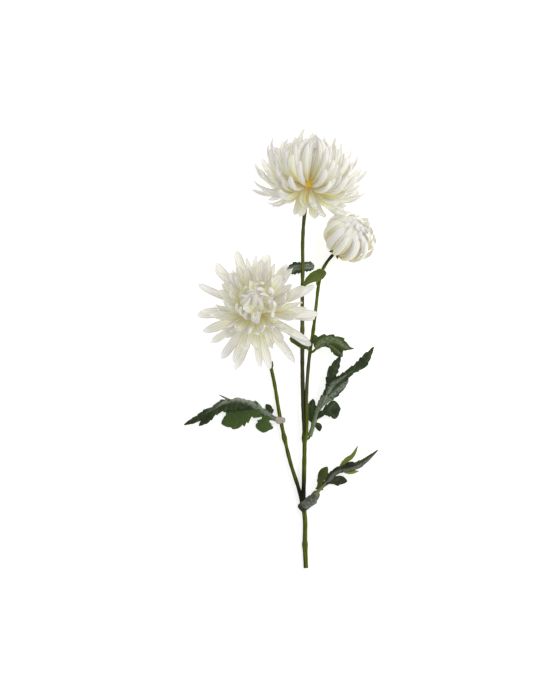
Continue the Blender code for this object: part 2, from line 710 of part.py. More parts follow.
def add_stub(leaf, collection):
    """The short stub on the stem that a leaf grows from."""
    if leaf.seat:
        route = np.array([leaf.root, leaf.seat])
        return add_tube(leaf.name + "_stub", route, (STUB_RADIUS, STUB_RADIUS), collection)
    start = smooth_route(leaf.midrib, [0.0])[0]
    ahead = unit(smooth_route(leaf.midrib, [1.0])[0] - start)
    _, _, _, upward = leaf_frame(leaf.midrib, np.array([0.0]))
    end = start - STALK_DROP * upward[0] - TOUCH_GAP * ahead
    route = np.array([leaf.root, end - STUB_RADIUS * ahead, end])
    return add_tube(leaf.name + "_stub", route, (STUB_RADIUS, STUB_TIP_RADIUS, STUB_TIP_RADIUS),
                    collection)


def build_calyx(calyx, head, material, collection, helpers):
    """The green cup of sepals between a head and its stem."""
    frame = head_frame(head)
    profile = ((0.0, -calyx.drop), (calyx.rim, -calyx.drop), (calyx.rim * 1.06, -0.3 * calyx.depth),
               (calyx.rim * 0.7, -0.66 * calyx.depth), (CALYX_FOOT_RADIUS, -calyx.depth),
               (0.0, -calyx.depth))
    work = bmesh.new()
    corners = [work.verts.new((radius * MM, 0.0, height * MM)) for radius, height in profile]
    for first, second in zip(corners, corners[1:]):
        work.edges.new((first, second))
    mesh = bpy.data.meshes.new("calyx_profile")
    work.to_mesh(mesh)
    work.free()
    turned = add_object("calyx_profile", mesh, collection)
    screw = turned.modifiers.new("turned", "SCREW")
    screw.axis = "Z"
    screw.steps = screw.render_steps = 10
    screw.use_merge_vertices = True
    screw.merge_threshold = 0.0001
    graph = bpy.context.evaluated_depsgraph_get()
    cup = bpy.data.meshes.new_from_object(turned.evaluated_get(graph))
    bpy.data.objects.remove(turned)
    work = bmesh.new()
    work.from_mesh(cup)
    bmesh.ops.remove_doubles(work, verts=work.verts, dist=0.02 * MM)
    for vertex in work.verts:
        vertex.co = (np.asarray(head.heart) + (np.array(vertex.co) / MM) @ frame) * MM
    bmesh.ops.recalc_face_normals(work, faces=work.faces)
    work.to_mesh(cup)
    work.free()
    pieces = [add_object("calyx_cup", cup, collection)]
    pieces += [add_sepal(calyx, head, index, collection) for index in range(calyx.sepals)]
    return fuse(calyx.name, pieces, material, collection, helpers)


def add_sepal(calyx, head, index, collection):
    """A small pointed sepal from the rim of the cup."""
    azimuth = 2 * np.pi * (index + 0.3) / calyx.sepals
    rise = np.radians(calyx.start + calyx.curl * np.linspace(0.0, 1.0, 4))
    run = np.concatenate([[0.0], np.cumsum(np.cos(rise[1:]))]) * calyx.length / 3
    climb = np.concatenate([[0.0], np.cumsum(np.sin(rise[1:]))]) * calyx.length / 3
    outward = np.array([np.cos(azimuth), np.sin(azimuth), 0.0])
    across = np.array([-np.sin(azimuth), np.cos(azimuth), 0.0])
    radius = calyx.rim - CALYX_FOOT_RADIUS + run
    line = radius[:, None] * outward + (climb - calyx.drop - SEPAL_SINK)[:, None] * UP
    half = 0.5 * calyx.width * np.array([0.8, 1.0, 0.6])
    points = []
    for centre, width, slope in zip(line, half, rise):
        thick = 0.5 * SEPAL_THICKNESS * (np.cos(slope) * UP - np.sin(slope) * outward)
        points += [centre - width * across, centre - thick, centre + width * across, centre + thick]
    points = np.asarray(head.heart) + np.array(points + [line[-1]]) @ head_frame(head)
    points[:, 2] = np.maximum(points[:, 2], SEPAL_LOWEST)
    return add_mesh("sepal", points, blade_faces(len(half)), collection)


def main():
    """Builds the whole spray."""
    clear_scene()
    collection = bpy.data.collections.new("pompon_chrysanthemum")
    helpers = bpy.data.collections.new("helpers")
    for group in (collection, helpers):
        bpy.context.scene.collection.children.link(group)
    petal = make_material("ivory_petal", (0.86, 0.85, 0.74), 0.6)
    leaf_green = make_material("leaf_green", (0.05, 0.09, 0.03), 0.55)
    stem_green = make_material("stem_green", (0.11, 0.15, 0.03), 0.5)
    sepal_green = make_material("sepal_green", (0.12, 0.17, 0.05), 0.6)
    over = tuple((leaf.midrib, 1.5) for leaf in LEAVES
                 if leaf.name in ("leaf_middle_left", "leaf_bud", "leaf_back"))
    rests_on = ((MAIN_STEM, STEM_TOP_RADIUS), (RIGHT_BRANCH, RIGHT_RADIUS[0]),
                (LEFT_BRANCH[:8], LEFT_RADIUS[0])) + over
    left_head = replace(HEAD_LEFT, rests_on=rests_on)
    build_stem(stem_green, collection, helpers)
    for head in (HEAD_TOP, left_head, HEAD_BUD):
        build_head(head, petal, collection, helpers)
    for calyx, head in ((CALYX_TOP, HEAD_TOP), (CALYX_LEFT, left_head), (CALYX_BUD, HEAD_BUD)):
        build_calyx(calyx, head, sepal_green, collection, helpers)
    for leaf in LEAVES:
        build_leaf(leaf, leaf_green, collection, helpers)
    bpy.data.collections.remove(helpers)


main()
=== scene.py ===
"""Dresses a cut chrysanthemum spray that lies on a pale floor, seen from straight above.

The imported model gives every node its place. Each node is stood for here by a finer surface on the
model's own routes, rows and draws: petals as thin channelled straps, leaves as folded and toothed
cloth, stems as ribbed tubes. Lengths are in millimetres until a mesh is made.
"""

import logging
from dataclasses import dataclass, field
from enum import Enum
from functools import partial

import bpy
import numpy as np
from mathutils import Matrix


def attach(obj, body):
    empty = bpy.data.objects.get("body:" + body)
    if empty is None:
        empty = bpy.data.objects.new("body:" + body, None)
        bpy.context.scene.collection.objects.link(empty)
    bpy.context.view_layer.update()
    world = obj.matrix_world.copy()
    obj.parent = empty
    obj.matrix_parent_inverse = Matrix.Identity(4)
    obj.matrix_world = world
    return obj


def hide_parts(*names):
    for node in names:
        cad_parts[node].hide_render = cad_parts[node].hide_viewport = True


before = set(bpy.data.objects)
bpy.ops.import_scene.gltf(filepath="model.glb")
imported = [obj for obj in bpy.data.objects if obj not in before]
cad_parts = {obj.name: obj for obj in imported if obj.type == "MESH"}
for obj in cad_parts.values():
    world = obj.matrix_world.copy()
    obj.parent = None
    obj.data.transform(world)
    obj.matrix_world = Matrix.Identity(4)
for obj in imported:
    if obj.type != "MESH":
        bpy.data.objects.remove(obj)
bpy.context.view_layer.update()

LOG = logging.getLogger("spray")
MM = 0.001
UP = np.array([0.0, 0.0, 1.0])
FULL_TURN = 2 * np.pi
PHOTO_MM_PER_PIXEL = 1.15
PHOTO_PIXELS_HIGH = 700


class Slot(Enum):
    """The record's material slots."""

    PETAL = "ivory_petal"
    LEAF = "leaf_green"
    STEM = "stem_green"
    SEPAL = "sepal_green"


class Cloth(Enum):
    """Which dyed cloth a leaf is cut from."""

    DARK = "dark"
    OLIVE = "olive"
    FELT = "felt"


def linear(code: str) -> tuple[float, float, float, float]:
    """Turns an sRGB hex colour into the linear colour that a shader takes.

    Args:
        code: six hex digits, red first.

    Returns:
        Red, green, blue and an alpha of one. A channel c up to 0.04045 is c / 12.92, and above
        it is ((c + 0.055) / 1.055) to the power 2.4.
    """
    share = np.array([int(code[k:k + 2], 16) for k in (0, 2, 4)]) / 255.0
    out = np.where(share <= 0.04045, share / 12.92, ((share + 0.055) / 1.055) ** 2.4)
    return (*map(float, out), 1.0)


def unit(vectors: np.ndarray) -> np.ndarray:
    """The vectors, each divided by its length."""
    return vectors / np.maximum(np.linalg.norm(vectors, axis=-1, keepdims=True), 1e-9)


def ease(share: np.ndarray) -> np.ndarray:
    """Three s squared less two s cubed, with s held between 0 and 1."""
    held = np.clip(share, 0.0, 1.0)
    return held * held * (3.0 - 2.0 * held)


def toward(turn: np.ndarray, rise: np.ndarray) -> np.ndarray:
    """The direction at the angle turn round the last axis and the angle rise above the level."""
    return np.stack([np.cos(rise) * np.cos(turn), np.cos(rise) * np.sin(turn), np.sin(rise)], -1)


def many(kind: type, *rows: tuple) -> tuple:
    """One object of a kind for each row of its numbers."""
    return tuple(kind(*row) for row in rows)


def stations(start: float, end: float, step: float) -> np.ndarray:
    """Distances from start to end, step apart, with the end itself last."""
    return np.append(np.arange(start, end - 0.5 * step, step), end)


def hermite(knots: np.ndarray, values: np.ndarray, at: np.ndarray) -> np.ndarray:
    """A smooth curve through values at knots.

    Args:
        knots: rising positions, one for each value.
        values: numbers or points, first axis along the knots.
        at: positions to read.

    Returns:
        The cubic Hermite curve whose slopes are the central differences of the values. Past the
        last knot it runs straight on.
    """
    slopes = np.gradient(values, knots, axis=0)
    span = np.clip(np.searchsorted(knots, at, side="right") - 1, 0, len(knots) - 2)
    shape = (-1,) + (1,) * (values.ndim - 1)
    width = (knots[span + 1] - knots[span]).reshape(shape)
    t = (at - knots[span]).reshape(shape) / width
    beyond = np.maximum(t - 1.0, 0.0) * width
    t = np.minimum(t, 1.0)
    return (
        (2 * t**3 - 3 * t**2 + 1) * values[span]
        + (t**3 - 2 * t**2 + t) * width * slopes[span]
        + (3 * t**2 - 2 * t**3) * values[span + 1]
        + (t**3 - t**2) * width * slopes[span + 1]
        + beyond * slopes[span + 1]
    )


def chords(points: tuple) -> np.ndarray:
    """The distance of each point from the first, along the straight runs between them."""
    steps = np.linalg.norm(np.diff(np.asarray(points, float), axis=0), axis=1)
    return np.concatenate([[0.0], np.cumsum(steps)])


def route(points: tuple, at: np.ndarray) -> np.ndarray:
    """Places on the smooth curve through points, at distances along its chords."""
    return hermite(chords(points), np.asarray(points, float), at)


@dataclass
class Skin:
    """Part of a piece's surface, before it is a mesh.

    Attributes:
        points: places in millimetres, one row each.
        faces: arrays of corners, four or three to a row.
        values: for each name, one number a point, which the finish reads.
    """

    points: np.ndarray
    faces: list[np.ndarray]
    values: dict[str, np.ndarray] = field(default_factory=dict)

    def fill(self, **numbers: float) -> "Skin":
        """This skin, with each number as the value of all its points."""
        self.values |= {name: np.full(len(self.points), n) for name, n in numbers.items()}
        return self


def join(skins: list[Skin]) -> Skin:
    """Joins several skins.

    Args:
        skins: the skins, in order.

    Returns:
        One skin with all their points and faces. A value that a skin lacks is zero there.
    """
    starts = np.cumsum([0] + [len(skin.points) for skin in skins])
    names = {name for skin in skins for name in skin.values}
    faces = [part + start for skin, start in zip(skins, starts) for part in skin.faces]
    values = {name: np.concatenate([skin.values.get(name, np.zeros(len(skin.points)))
                                    for skin in skins]) for name in sorted(names)}
    return Skin(np.concatenate([skin.points for skin in skins]), faces, values)


def put(name: str, data: bpy.types.ID, place: tuple = (0.0, 0.0, 0.0)) -> bpy.types.Object:
    """Adds an object to the scene.

    Args:
        name: its name.
        data: the mesh, lamp or camera that it shows.
        place: where it stands.

    Returns:
        The object.
    """
    thing = bpy.data.objects.new(name, data)
    thing.location = place
    bpy.context.scene.collection.objects.link(thing)
    return thing


def make_piece(name: str, node: str, skins: list[Skin], material: bpy.types.Material) -> None:
    """Makes skins into one object that rides on the model, at the origin.

    Args:
        name: the piece's name.
        node: the node that it replaces.
        skins: its surface, in parts.
        material: its finish.
    """
    skin = join(skins)
    mesh = bpy.data.meshes.new(name)
    faces = [row for part in skin.faces for row in part.tolist()]
    mesh.from_pydata((skin.points * MM).tolist(), [], faces)
    for label, numbers in skin.values.items():
        store = mesh.attributes.new(label, "FLOAT", "POINT")
        store.data.foreach_set("value", np.ascontiguousarray(numbers, np.float32))
    mesh.materials.append(material)
    mesh.shade_smooth()
    mesh.update()
    piece = put(name, mesh)
    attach(piece, "root")
    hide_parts(node)
    LOG.info("%s: %d faces", name, len(mesh.polygons))


def add_node(tree: bpy.types.NodeTree, kind: str, *inputs: object, out: str = "",
             **settings: object) -> bpy.types.NodeSocket | None:
    """Adds a shader node with its settings and links.

    Args:
        tree: the node tree.
        kind: the node's type name, without ShaderNode in front.
        *inputs: a number, a hex colour or a socket for each input in use, in their order.
        out: the name of the output to give, or nothing for the first in use.
        **settings: the node's own properties, and with a capital its inputs by name, with _ for
            a space.

    Returns:
        The output, or nothing where the node has none.
    """
    node = tree.nodes.new("ShaderNode" + kind)
    for key, value in settings.items():
        if key[0].islower():
            setattr(node, key, value)
    fed = list(zip([socket for socket in node.inputs if socket.enabled], inputs))
    fed += [(node.inputs[key.replace("_", " ")], value) for key, value in settings.items()
            if key[0].isupper()]
    for socket, value in fed:
        if isinstance(value, bpy.types.NodeSocket):
            tree.links.new(value, socket)
        else:
            socket.default_value = linear(value) if isinstance(value, str) else value
    given = [socket for socket in node.outputs if socket.enabled and out in ("", socket.name)]
    return given[0] if given else None


def empty_look(data: bpy.types.ID) -> partial:
    """Gives a material or a world an empty node tree.

    Args:
        data: the material or world.

    Returns:
        add_node for that tree.
    """
    data.use_nodes = True
    data.node_tree.nodes.clear()
    return partial(add_node, data.node_tree)


@dataclass(frozen=True)
class SilkPetal:
    """Polyester silk, dyed at the root and pressed into a channel.

    The eye gets a soft matt white with a green-yellow root and fine ribs along the petal from the
    pressing. Painted shade darkens the rolled edges and the grooves between ribs to lilac grey.
    """

    root: str = "dcbd40"
    throat: str = "e0dc96"
    peach: str = "f2cf98"
    body: str = "eff1d9"
    tip: str = "f1f1e8"
    # lilac grey of the painted shade at the rims and in the rib grooves
    blush: str = "c0b7be"
    lilac: str = "e2dbe3"
    glow: float = 0.165
    rib_count: float = 4.0
    fleck_mm: float = 9.0
    root_dye: float = 0.11  # share of the length that keeps the root's dye, however far it climbs
    dye_ends: tuple[float, float, float] = (0.13, 0.42, 0.85)  # where throat, body and tip begin
    relief: tuple[float, float] = (0.25, 0.3)  # strength, and depth in millimetres

    def material(self) -> bpy.types.Material:
        """Builds the material.

        Returns:
            The material. It reads the petal's values along, across, inside, tint and climb.
        """
        material = bpy.data.materials.new("dyed_silk_petal")
        add = empty_look(material)
        along, across, inside, tint, climb = (
            add("Attribute", attribute_name=name, out="Fac")
            for name in ("along", "across", "inside", "tint", "climb"))
        fleck = add("TexNoise", add("TexCoord", out="Object"), 1.0 / (self.fleck_mm * MM), 3.0)
        # The dye climbs a little further on some petals than on others
        reach = add("Math", tint, -0.2, along, operation="MULTIPLY_ADD")
        reach = add("Math", fleck, 0.06, reach, operation="MULTIPLY_ADD")
        held = add("Math", reach, self.root_dye, operation="MINIMUM")
        reach = add("Math", reach, climb, operation="SUBTRACT")
        colour = add("ValToRGB", add("Math", reach, held, operation="MAXIMUM"))
        stops = colour.node.color_ramp.elements
        for place in self.dye_ends[:-1]:
            stops.new(place)
        for stop, place, code in zip(stops, (0.0, *self.dye_ends),
                                     (self.root, self.throat, self.body, self.tip)):
            stop.position = place
            stop.color = linear(code)
        # The least dyed petals have a lilac cast
        cast = add("Math", tint, -1.5, 0.75, operation="MULTIPLY_ADD", use_clamp=True)
        cast = add("Math", cast, 0.5, operation="MULTIPLY")
        off = add("Math", across, operation="ABSOLUTE")
        # Painted shade: the rims darken towards lilac grey, as the rolled edges turn from the light
        edge = add("Math", add("Math", off, 4.0, operation="POWER"), 0.85, operation="MULTIPLY")
        # The channel keeps more dye along its middle on the inner side
        middle = add("Math", 1.0, off, operation="SUBTRACT")
        stripe = add("Math", middle, inside, operation="MULTIPLY")
        low = add("Math", 0.75, along, operation="SUBTRACT")
        stripe = add("Math", stripe, low, operation="MULTIPLY")
        stripe = add("Math", stripe, 0.65, 0.0, operation="MULTIPLY_ADD", use_clamp=True)
        warm = add("Math", tint, 3.0, -2.0, operation="MULTIPLY_ADD", use_clamp=True)
        hollow = add("Mix", warm, self.throat, self.peach, data_type="RGBA")
        rib = add("Math", across, self.rib_count * np.pi, operation="MULTIPLY")
        rib = add("Math", rib, operation="COSINE")
        # Painted shade in the grooves between the ribs
        groove_shade = add("Math", rib, -0.16, 0.14, operation="MULTIPLY_ADD", use_clamp=True)
        for share, coat in ((cast, self.lilac), (edge, self.blush), (stripe, hollow),
                            (groove_shade, self.blush)):
            colour = add("Mix", share, colour, coat, data_type="RGBA")
        strength, depth = self.relief
        height = add("Math", rib, 0.5, fleck, operation="MULTIPLY_ADD")
        normal = add("Bump", Strength=strength, Distance=depth * MM, Height=height)
        # A little glow stands in for the light that thin cloth lets through
        add("OutputMaterial", add(
            "BsdfPrincipled", Base_Color=colour, Normal=normal, Roughness=0.62, Sheen_Weight=0.15,
            Specular_IOR_Level=0.3, Subsurface_Weight=0.4, Subsurface_Radius=(1.0, 0.97, 0.8),
            Subsurface_Scale=0.002, Emission_Color=colour, Emission_Strength=self.glow))
        return material


@dataclass(frozen=True)
class LeafCloth:
    """Polyester cloth, dyed green, pressed with veins and brushed with a paler wash.

    The eye gets a dull satin with darker and lighter patches, pale veins, a chalky grey-green
    bloom along the midrib, a grey-green underside and a fine weave.
    """

    name: str
    deep: str
    light: str
    vein: str
    under: str
    wash: str
    bright: str
    blush: str = "d3c0b8"
    patch_mm: float = 13.0
    streak_mm: float = 2.6
    weave_mm: float = 0.9  # wider than the real thread, so that it shows
    relief: tuple[float, float] = (0.35, 0.4)  # strength, and depth in millimetres

    def material(self) -> bpy.types.Material:
        """Builds the material.

        Returns:
            The material. It reads the leaf's values under, bright, vein, wash and blush.
        """
        material = bpy.data.materials.new(self.name)
        add = empty_look(material)
        under, bright, vein, wash, blush = (
            add("Attribute", attribute_name=name, out="Fac")
            for name in ("under", "bright", "vein", "wash", "blush"))
        place = add("TexCoord", out="Object")
        patch = add("TexNoise", place, 1.0 / (self.patch_mm * MM), 4.0, 0.6)
        patch = add("Math", patch, 2.4, -0.7, operation="MULTIPLY_ADD", use_clamp=True)
        # The wash is uneven, so that it breaks up into streaks and thin spots
        thin = add("TexNoise", place, 1.0 / (self.streak_mm * MM), 3.0)
        thin = add("Math", thin, 3.2, -0.85, operation="MULTIPLY_ADD", use_clamp=True)
        weave = add("TexNoise", place, 1.0 / (self.weave_mm * MM), 1.0)
        vein, wash, blush, thread = (
            add("Math", value, share, operation="MULTIPLY")
            for value, share in ((vein, 0.3), (wash, thin), (blush, 0.75), (weave, 0.08)))
        colour = self.deep
        for share, coat in ((patch, self.light), (under, self.under), (bright, self.bright),
                            (vein, self.vein), (wash, self.wash), (blush, self.blush),
                            (thread, self.vein)):
            colour = add("Mix", share, colour, coat, data_type="RGBA")
        strength, depth = self.relief
        normal = add("Bump", Strength=strength, Distance=depth * MM, Height=weave)
        add("OutputMaterial", add("BsdfPrincipled", Base_Color=colour, Normal=normal,
                                  Roughness=0.5, Specular_IOR_Level=0.22))
        return material


@dataclass(frozen=True)
class CoatedStem:
    """Polyethylene moulded over wire, with a spray of two greens in streaks.

    The eye gets an olive tube with a dull satin, brown-grey stretches and streaks along it. Painted
    shade darkens the forks, some stretches of stem and the side of each stem away from the light.
    """

    green: str = "75861f"
    shade: str = "333e09"
    # the painted shade on the side away from the light
    dark: str = "1b2106"
    brown: str = "5f5842"
    # near black painted shade at the forks and on shaded stretches
    joint: str = "15170a"
    streak_mm: tuple[float, float] = (1.2, 22.0)  # across the picture and along it
    relief: tuple[float, float] = (0.4, 0.4)  # strength, and depth in millimetres

    def material(self) -> bpy.types.Material:
        """Builds the material.

        Returns:
            The material. It reads the stem's brown and two painted shade values: stretches and one
            side.
        """
        material = bpy.data.materials.new("coated_wire_stem")
        add = empty_look(material)
        brown, joint, sprayed = (add("Attribute", attribute_name=name, out="Fac")
                                 for name in ("brown", "joint", "sprayed"))
        across, along = (1.0 / (size * MM) for size in self.streak_mm)
        place = add("Mapping", add("TexCoord", out="Object"), Scale=(across, along, across))
        streak = add("TexNoise", place, 1.0, 3.0)
        light = add("Math", streak, 2.2, -0.6, operation="MULTIPLY_ADD", use_clamp=True)
        colour = self.shade
        # Painted shade: near black at the forks and shaded stretches, dark green on the unlit side
        for share, coat in ((light, self.green), (brown, self.brown), (joint, self.joint),
                            (sprayed, self.dark)):
            colour = add("Mix", share, colour, coat, data_type="RGBA")
        strength, depth = self.relief
        normal = add("Bump", Strength=strength, Distance=depth * MM, Height=streak)
        add("OutputMaterial", add("BsdfPrincipled", Base_Color=colour, Normal=normal,
                                  Roughness=0.48, Specular_IOR_Level=0.12))
        return material


def ring_faces(rings: int, sides: int) -> list[np.ndarray]:
    """Faces of a closed body of rings, with its two end points after them.

    Args:
        rings: how many rings it has.
        sides: corners in a ring.

    Returns:
        The quads between rings, then the triangles round the first end and round the last.
    """
    row, spin = np.arange(rings - 1)[:, None] * sides, np.arange(sides)
    after = (spin + 1) % sides
    quads = np.stack([row + spin, row + sides + spin, row + sides + after, row + after], -1)
    ends = rings * sides
    first = np.stack([np.full(sides, ends), spin, after], -1)
    last = np.stack([np.full(sides, ends + 1), ends - sides + after, ends - sides + spin], -1)
    return [quads.reshape(-1, 4), first, last]


def tube(points: np.ndarray, radii: np.ndarray, sides: int, ribs: float = 0.0) -> Skin:
    """A closed tube along places.

    Args:
        points: places along it.
        radii: the radius at each.
        sides: corners round it.
        ribs: height of five low ribs, as a share of the radius.

    Returns:
        The skin. A corner stands from its place by the radius times one plus ribs times the
        cosine of five times its angle, on two directions square to the run.
    """
    ahead = unit(np.gradient(points, axis=0))
    side = unit(np.cross(ahead, np.where(np.abs(ahead[:, 2:]) > 0.9, [[1.0, 0.0, 0.0]], UP)))
    other = np.cross(ahead, side)
    angle = FULL_TURN * np.arange(sides) / sides
    out = (radii[:, None] * (1.0 + ribs * np.cos(5 * angle)))[..., None]
    turn = angle[None, :, None]
    body = points[:, None] + out * (np.cos(turn) * side[:, None] + np.sin(turn) * other[:, None])
    quads, first, last = ring_faces(len(points), sides)
    # Each quad starts at its far corner, because that is where it is cut in two
    return Skin(np.vstack([body.reshape(-1, 3), points[:1], points[-1:]]),
                [np.roll(quads, -1, axis=1), first, last])


def sheet(middle: np.ndarray, thick: float) -> tuple[Skin, np.ndarray]:
    """A thin closed shell round a grid of places, drawn to an edge at its rim.

    Args:
        middle: grid of places, rows along the piece and columns across it.
        thick: thickness away from the rim.

    Returns:
        The skin, which is the grid moved out and in by half the thickness along its normal, the
        two sides sharing the rim, and the place in the grid of each of its points. Its value
        under is one on the lower side.
    """
    normal = unit(np.cross(np.gradient(middle, axis=1), np.gradient(middle, axis=0)))
    rim = np.ones(middle.shape[:2], bool)
    rim[1:-1, 1:-1] = False
    half = np.where(rim, 0.0, 0.5 * thick)[..., None]
    top = np.arange(rim.size).reshape(rim.shape)
    bottom = top.copy()
    bottom[~rim] = rim.size + np.arange((~rim).sum())
    faces = []
    for grid, turn in ((top, -1), (bottom, 1)):
        quad = np.stack([grid[:-1, :-1], grid[:-1, 1:], grid[1:, 1:], grid[1:, :-1]], -1)
        faces.append(quad.reshape(-1, 4)[:, ::turn])
    points = np.vstack([(middle + half * normal).reshape(-1, 3), (middle - half * normal)[~rim]])
    under = np.concatenate([0.5 * rim.ravel(), np.ones((~rim).sum())])
    return Skin(points, faces, {"under": under}), np.concatenate([top.ravel(), top[~rim]])


@dataclass(frozen=True)
class Stray:
    """How far single petals stray from their row's numbers, with angles in degrees."""

    place: float = 0.16
    start: float = 6.0
    curl: float = 9.0
    length: float = 0.07
    width: float = 0.08
    sway: float = 11.0
    twist: float = 14.0


LOOSE = Stray(place=0.45, start=9.0, curl=17.0, length=0.15, width=0.14, sway=18.0, twist=72.0)


@dataclass(frozen=True)
class PetalRow:
    """One whorl of petals: how many, where they point and how they curl, in degrees."""

    count: int
    start: float
    curl: float
    length: float
    width: float


@dataclass(frozen=True)
class SinglePetal:
    """One petal that the photograph shows apart from its whorl, with its angles in degrees."""

    azimuth: float
    start: float
    curl: float
    length: float
    width: float
    twist: float = 0.0


@dataclass(frozen=True)
class Press:
    """How scissors and press shape a petal.

    Heights are in millimetres for a petal 10 mm wide. Of two numbers, the second is how far
    single petals stray from the first.
    """

    root_width: float = 0.42  # as a share of the widest, which is halfway along
    taper_stray: float = 0.09
    tip_power: tuple[float, float] = (2.0, 0.5)
    blunt: float = 0.55
    root_arc: float = 1.6  # half the angle that a section takes
    tip_arc: float = 0.9
    arc_stray: float = 0.4
    open_by: float = 0.6  # share of the length at which the channel is at its flattest
    waves: tuple[float, float] = (1.6, 0.6)
    ripple: float = 0.55
    ridge: float = 0.2
    tip_from: float = 0.8
    hook: tuple[float, float] = (1.6, 1.8)
    teeth: float = 2.6
    thick: float = 0.7
    thin_from: float = 0.75
    crowding: float = 1.35  # of the rings towards the tip
    last_ring: float = 0.985


PRESS = Press()
FINE = (24, 13)  # rings of a petal and columns on each side
COARSE = (15, 9)
LINE_STEPS = 48
LIE_HEIGHT = 7.0  # from here down a petal eases into lying on what is under it
LEAST_HEIGHT = 0.55
STEM_REACH = (8.0, 27.0)  # a stem lifts petals fully, and not at all, from here on
STEM_CLEARANCE = 2.6
SINGLE_CLIMB = 0.34
ROW_TURN = 0.37
STEM_SIDE = (0.13, 0.22)  # rank below which petals turn in front of the stem, and how much
PARTING_HALF_WIDTH = 0.56


@dataclass(frozen=True)
class FlowerHead:
    """A flower head: rows of silk petals round one core.

    The rows and their draws are the model's own, but the left bloom's upper rows open wider here.
    inner holds the short petals that fill the heart, and lean the axis that they stand round,
    where it isn't the head's. rests_on has routes and radii of what petals lie over, neighbour
    the middle and radius of what they keep off. climb and fade say how much higher the dye stands
    on the inner and on the modelled petals, point and slim how much more pointed and narrow the
    top row is, and parting the push on the modelled and the inner petals, in degrees.
    """

    name: str
    seed: int
    heart: tuple[float, float, float]
    axis: tuple[float, float, float]
    rows: tuple[PetalRow, ...]
    inner: tuple[PetalRow, ...]
    dome: float
    core: tuple[float, float]
    core_rise: float
    curl_power: float
    sway: float
    unevenness: float
    rests_on: tuple = ()
    neighbour: tuple = ()
    singles: tuple[SinglePetal, ...] = ()
    taper: float = 0.78
    broad: float = 1.1
    climb: float = 0.2
    fade: float = 0.0
    point: float = 0.0
    slim: float = 0.0
    parting: tuple[float, float] = (0.0, 0.0)
    lean: tuple = ()

    def frame(self, lean: tuple = ()) -> np.ndarray:
        """Finds the head's own directions.

        Args:
            lean: another axis to take, or nothing for the head's.

        Returns:
            Two directions across the axis, the first of them level, and the axis.
        """
        axis = unit(np.asarray(lean or self.axis, float))
        level = UP if abs(axis[2]) < 0.9 else np.array([0.0, -1.0, 0.0])
        side = unit(np.cross(level, axis))
        return np.array([side, np.cross(axis, side), axis])

    def draws(self, rows: tuple[PetalRow, ...], seed: int, stray: Stray) -> dict[str, np.ndarray]:
        """Every petal's own numbers.

        Args:
            rows: the whorls, lowest first.
            seed: of the draws.
            stray: how far a draw may take each number, in a head of unevenness one.

        Returns:
            Arrays over the petals: azimuth, start, curl, length, width, sway and twist, angles in
            radians, and rank, from 0 in the lowest row to 1 in the highest. Each is its row's
            number plus a draw between -1 and 1 times how far petals stray.
        """
        counts = np.array([row.count for row in rows])
        number = np.repeat(np.arange(len(rows)), counts)
        index = np.arange(counts.sum()) - np.repeat(np.cumsum(counts) - counts, counts)
        row = {key: np.repeat([getattr(row, key) for row in rows], counts)
               for key in ("start", "curl", "length", "width")}
        shake = np.random.default_rng(seed).uniform(-1.0, 1.0, (counts.sum(), 7))
        off = {key: distance * (1.0 if key == "width" else self.unevenness) * shake[:, k]
               for k, (key, distance) in enumerate(vars(stray).items())}
        turn = index + 0.5 * (number % 2) + off["place"]
        return {
            "azimuth": FULL_TURN * turn / counts[number] + ROW_TURN * number,
            "start": np.radians(row["start"] + off["start"]),
            "curl": np.radians(row["curl"] + off["curl"]),
            "length": row["length"] * (1.0 + off["length"]),
            "width": row["width"] * (1.0 + off["width"]),
            "sway": np.radians(self.sway + off["sway"]),
            "twist": np.radians(off["twist"]),
            "rank": number / max(len(rows) - 1, 1),
        }

    def placed(self) -> dict[str, np.ndarray]:
        """Lists the single petals.

        Returns:
            Their numbers in the form of draws, with no sway and the rank of the lowest row.
        """
        draw = {key: np.array([getattr(one, key) for one in self.singles], float)
                for key in ("azimuth", "start", "curl", "twist", "length", "width")}
        draw |= {key: np.radians(draw[key]) for key in ("azimuth", "start", "curl", "twist")}
        return {**draw, "sway": 0.0 * draw["length"], "rank": 0.0 * draw["length"]}

    def parted(self, draw: dict[str, np.ndarray], push: float) -> dict[str, np.ndarray]:
        """The draws with their petals combed away from the side that faces up.

        Args:
            draw: the petals' numbers.
            push: the largest turn, in degrees.

        Returns:
            The same numbers with new azimuths. A petal at the angle d from that side turns
            further away by the push times its distance from the top row times e to the power
            -(d / 0.56) squared. The lowest row turns a little the other way, so that it hangs in
            front of the stem.
        """
        apart = np.mod(draw["azimuth"] - 0.5 * np.pi + np.pi, FULL_TURN) - np.pi
        low, back = STEM_SIDE
        share = ((1.0 + back) * ease(draw["rank"] / low) - back) * (1.0 - draw["rank"])
        turn = np.radians(push) * share * np.exp(-((apart / PARTING_HALF_WIDTH) ** 2))
        return {**draw, "azimuth": draw["azimuth"] + np.sign(apart) * turn}

    def over(self, places: np.ndarray) -> np.ndarray:
        """Finds how high the stems and ribs under a petal lift it.

        Args:
            places: grid of places on petals.

        Returns:
            A height for each place: the highest, over all stems, of the stem's top and a
            clearance, times a share that eases from one beside the stem to zero away from it.
        """
        height = np.zeros(places.shape[:-1])
        full, none = STEM_REACH
        for points, radius in self.rests_on:
            line = route(points, np.arange(0.0, chords(points)[-1], 4.0))
            apart = np.linalg.norm(places[..., None, :2] - line[:, :2], axis=-1)
            lift = ease((none - apart) / (none - full)) * (line[:, 2] + radius + STEM_CLEARANCE)
            height = np.maximum(height, lift.max(axis=-1))
        return height

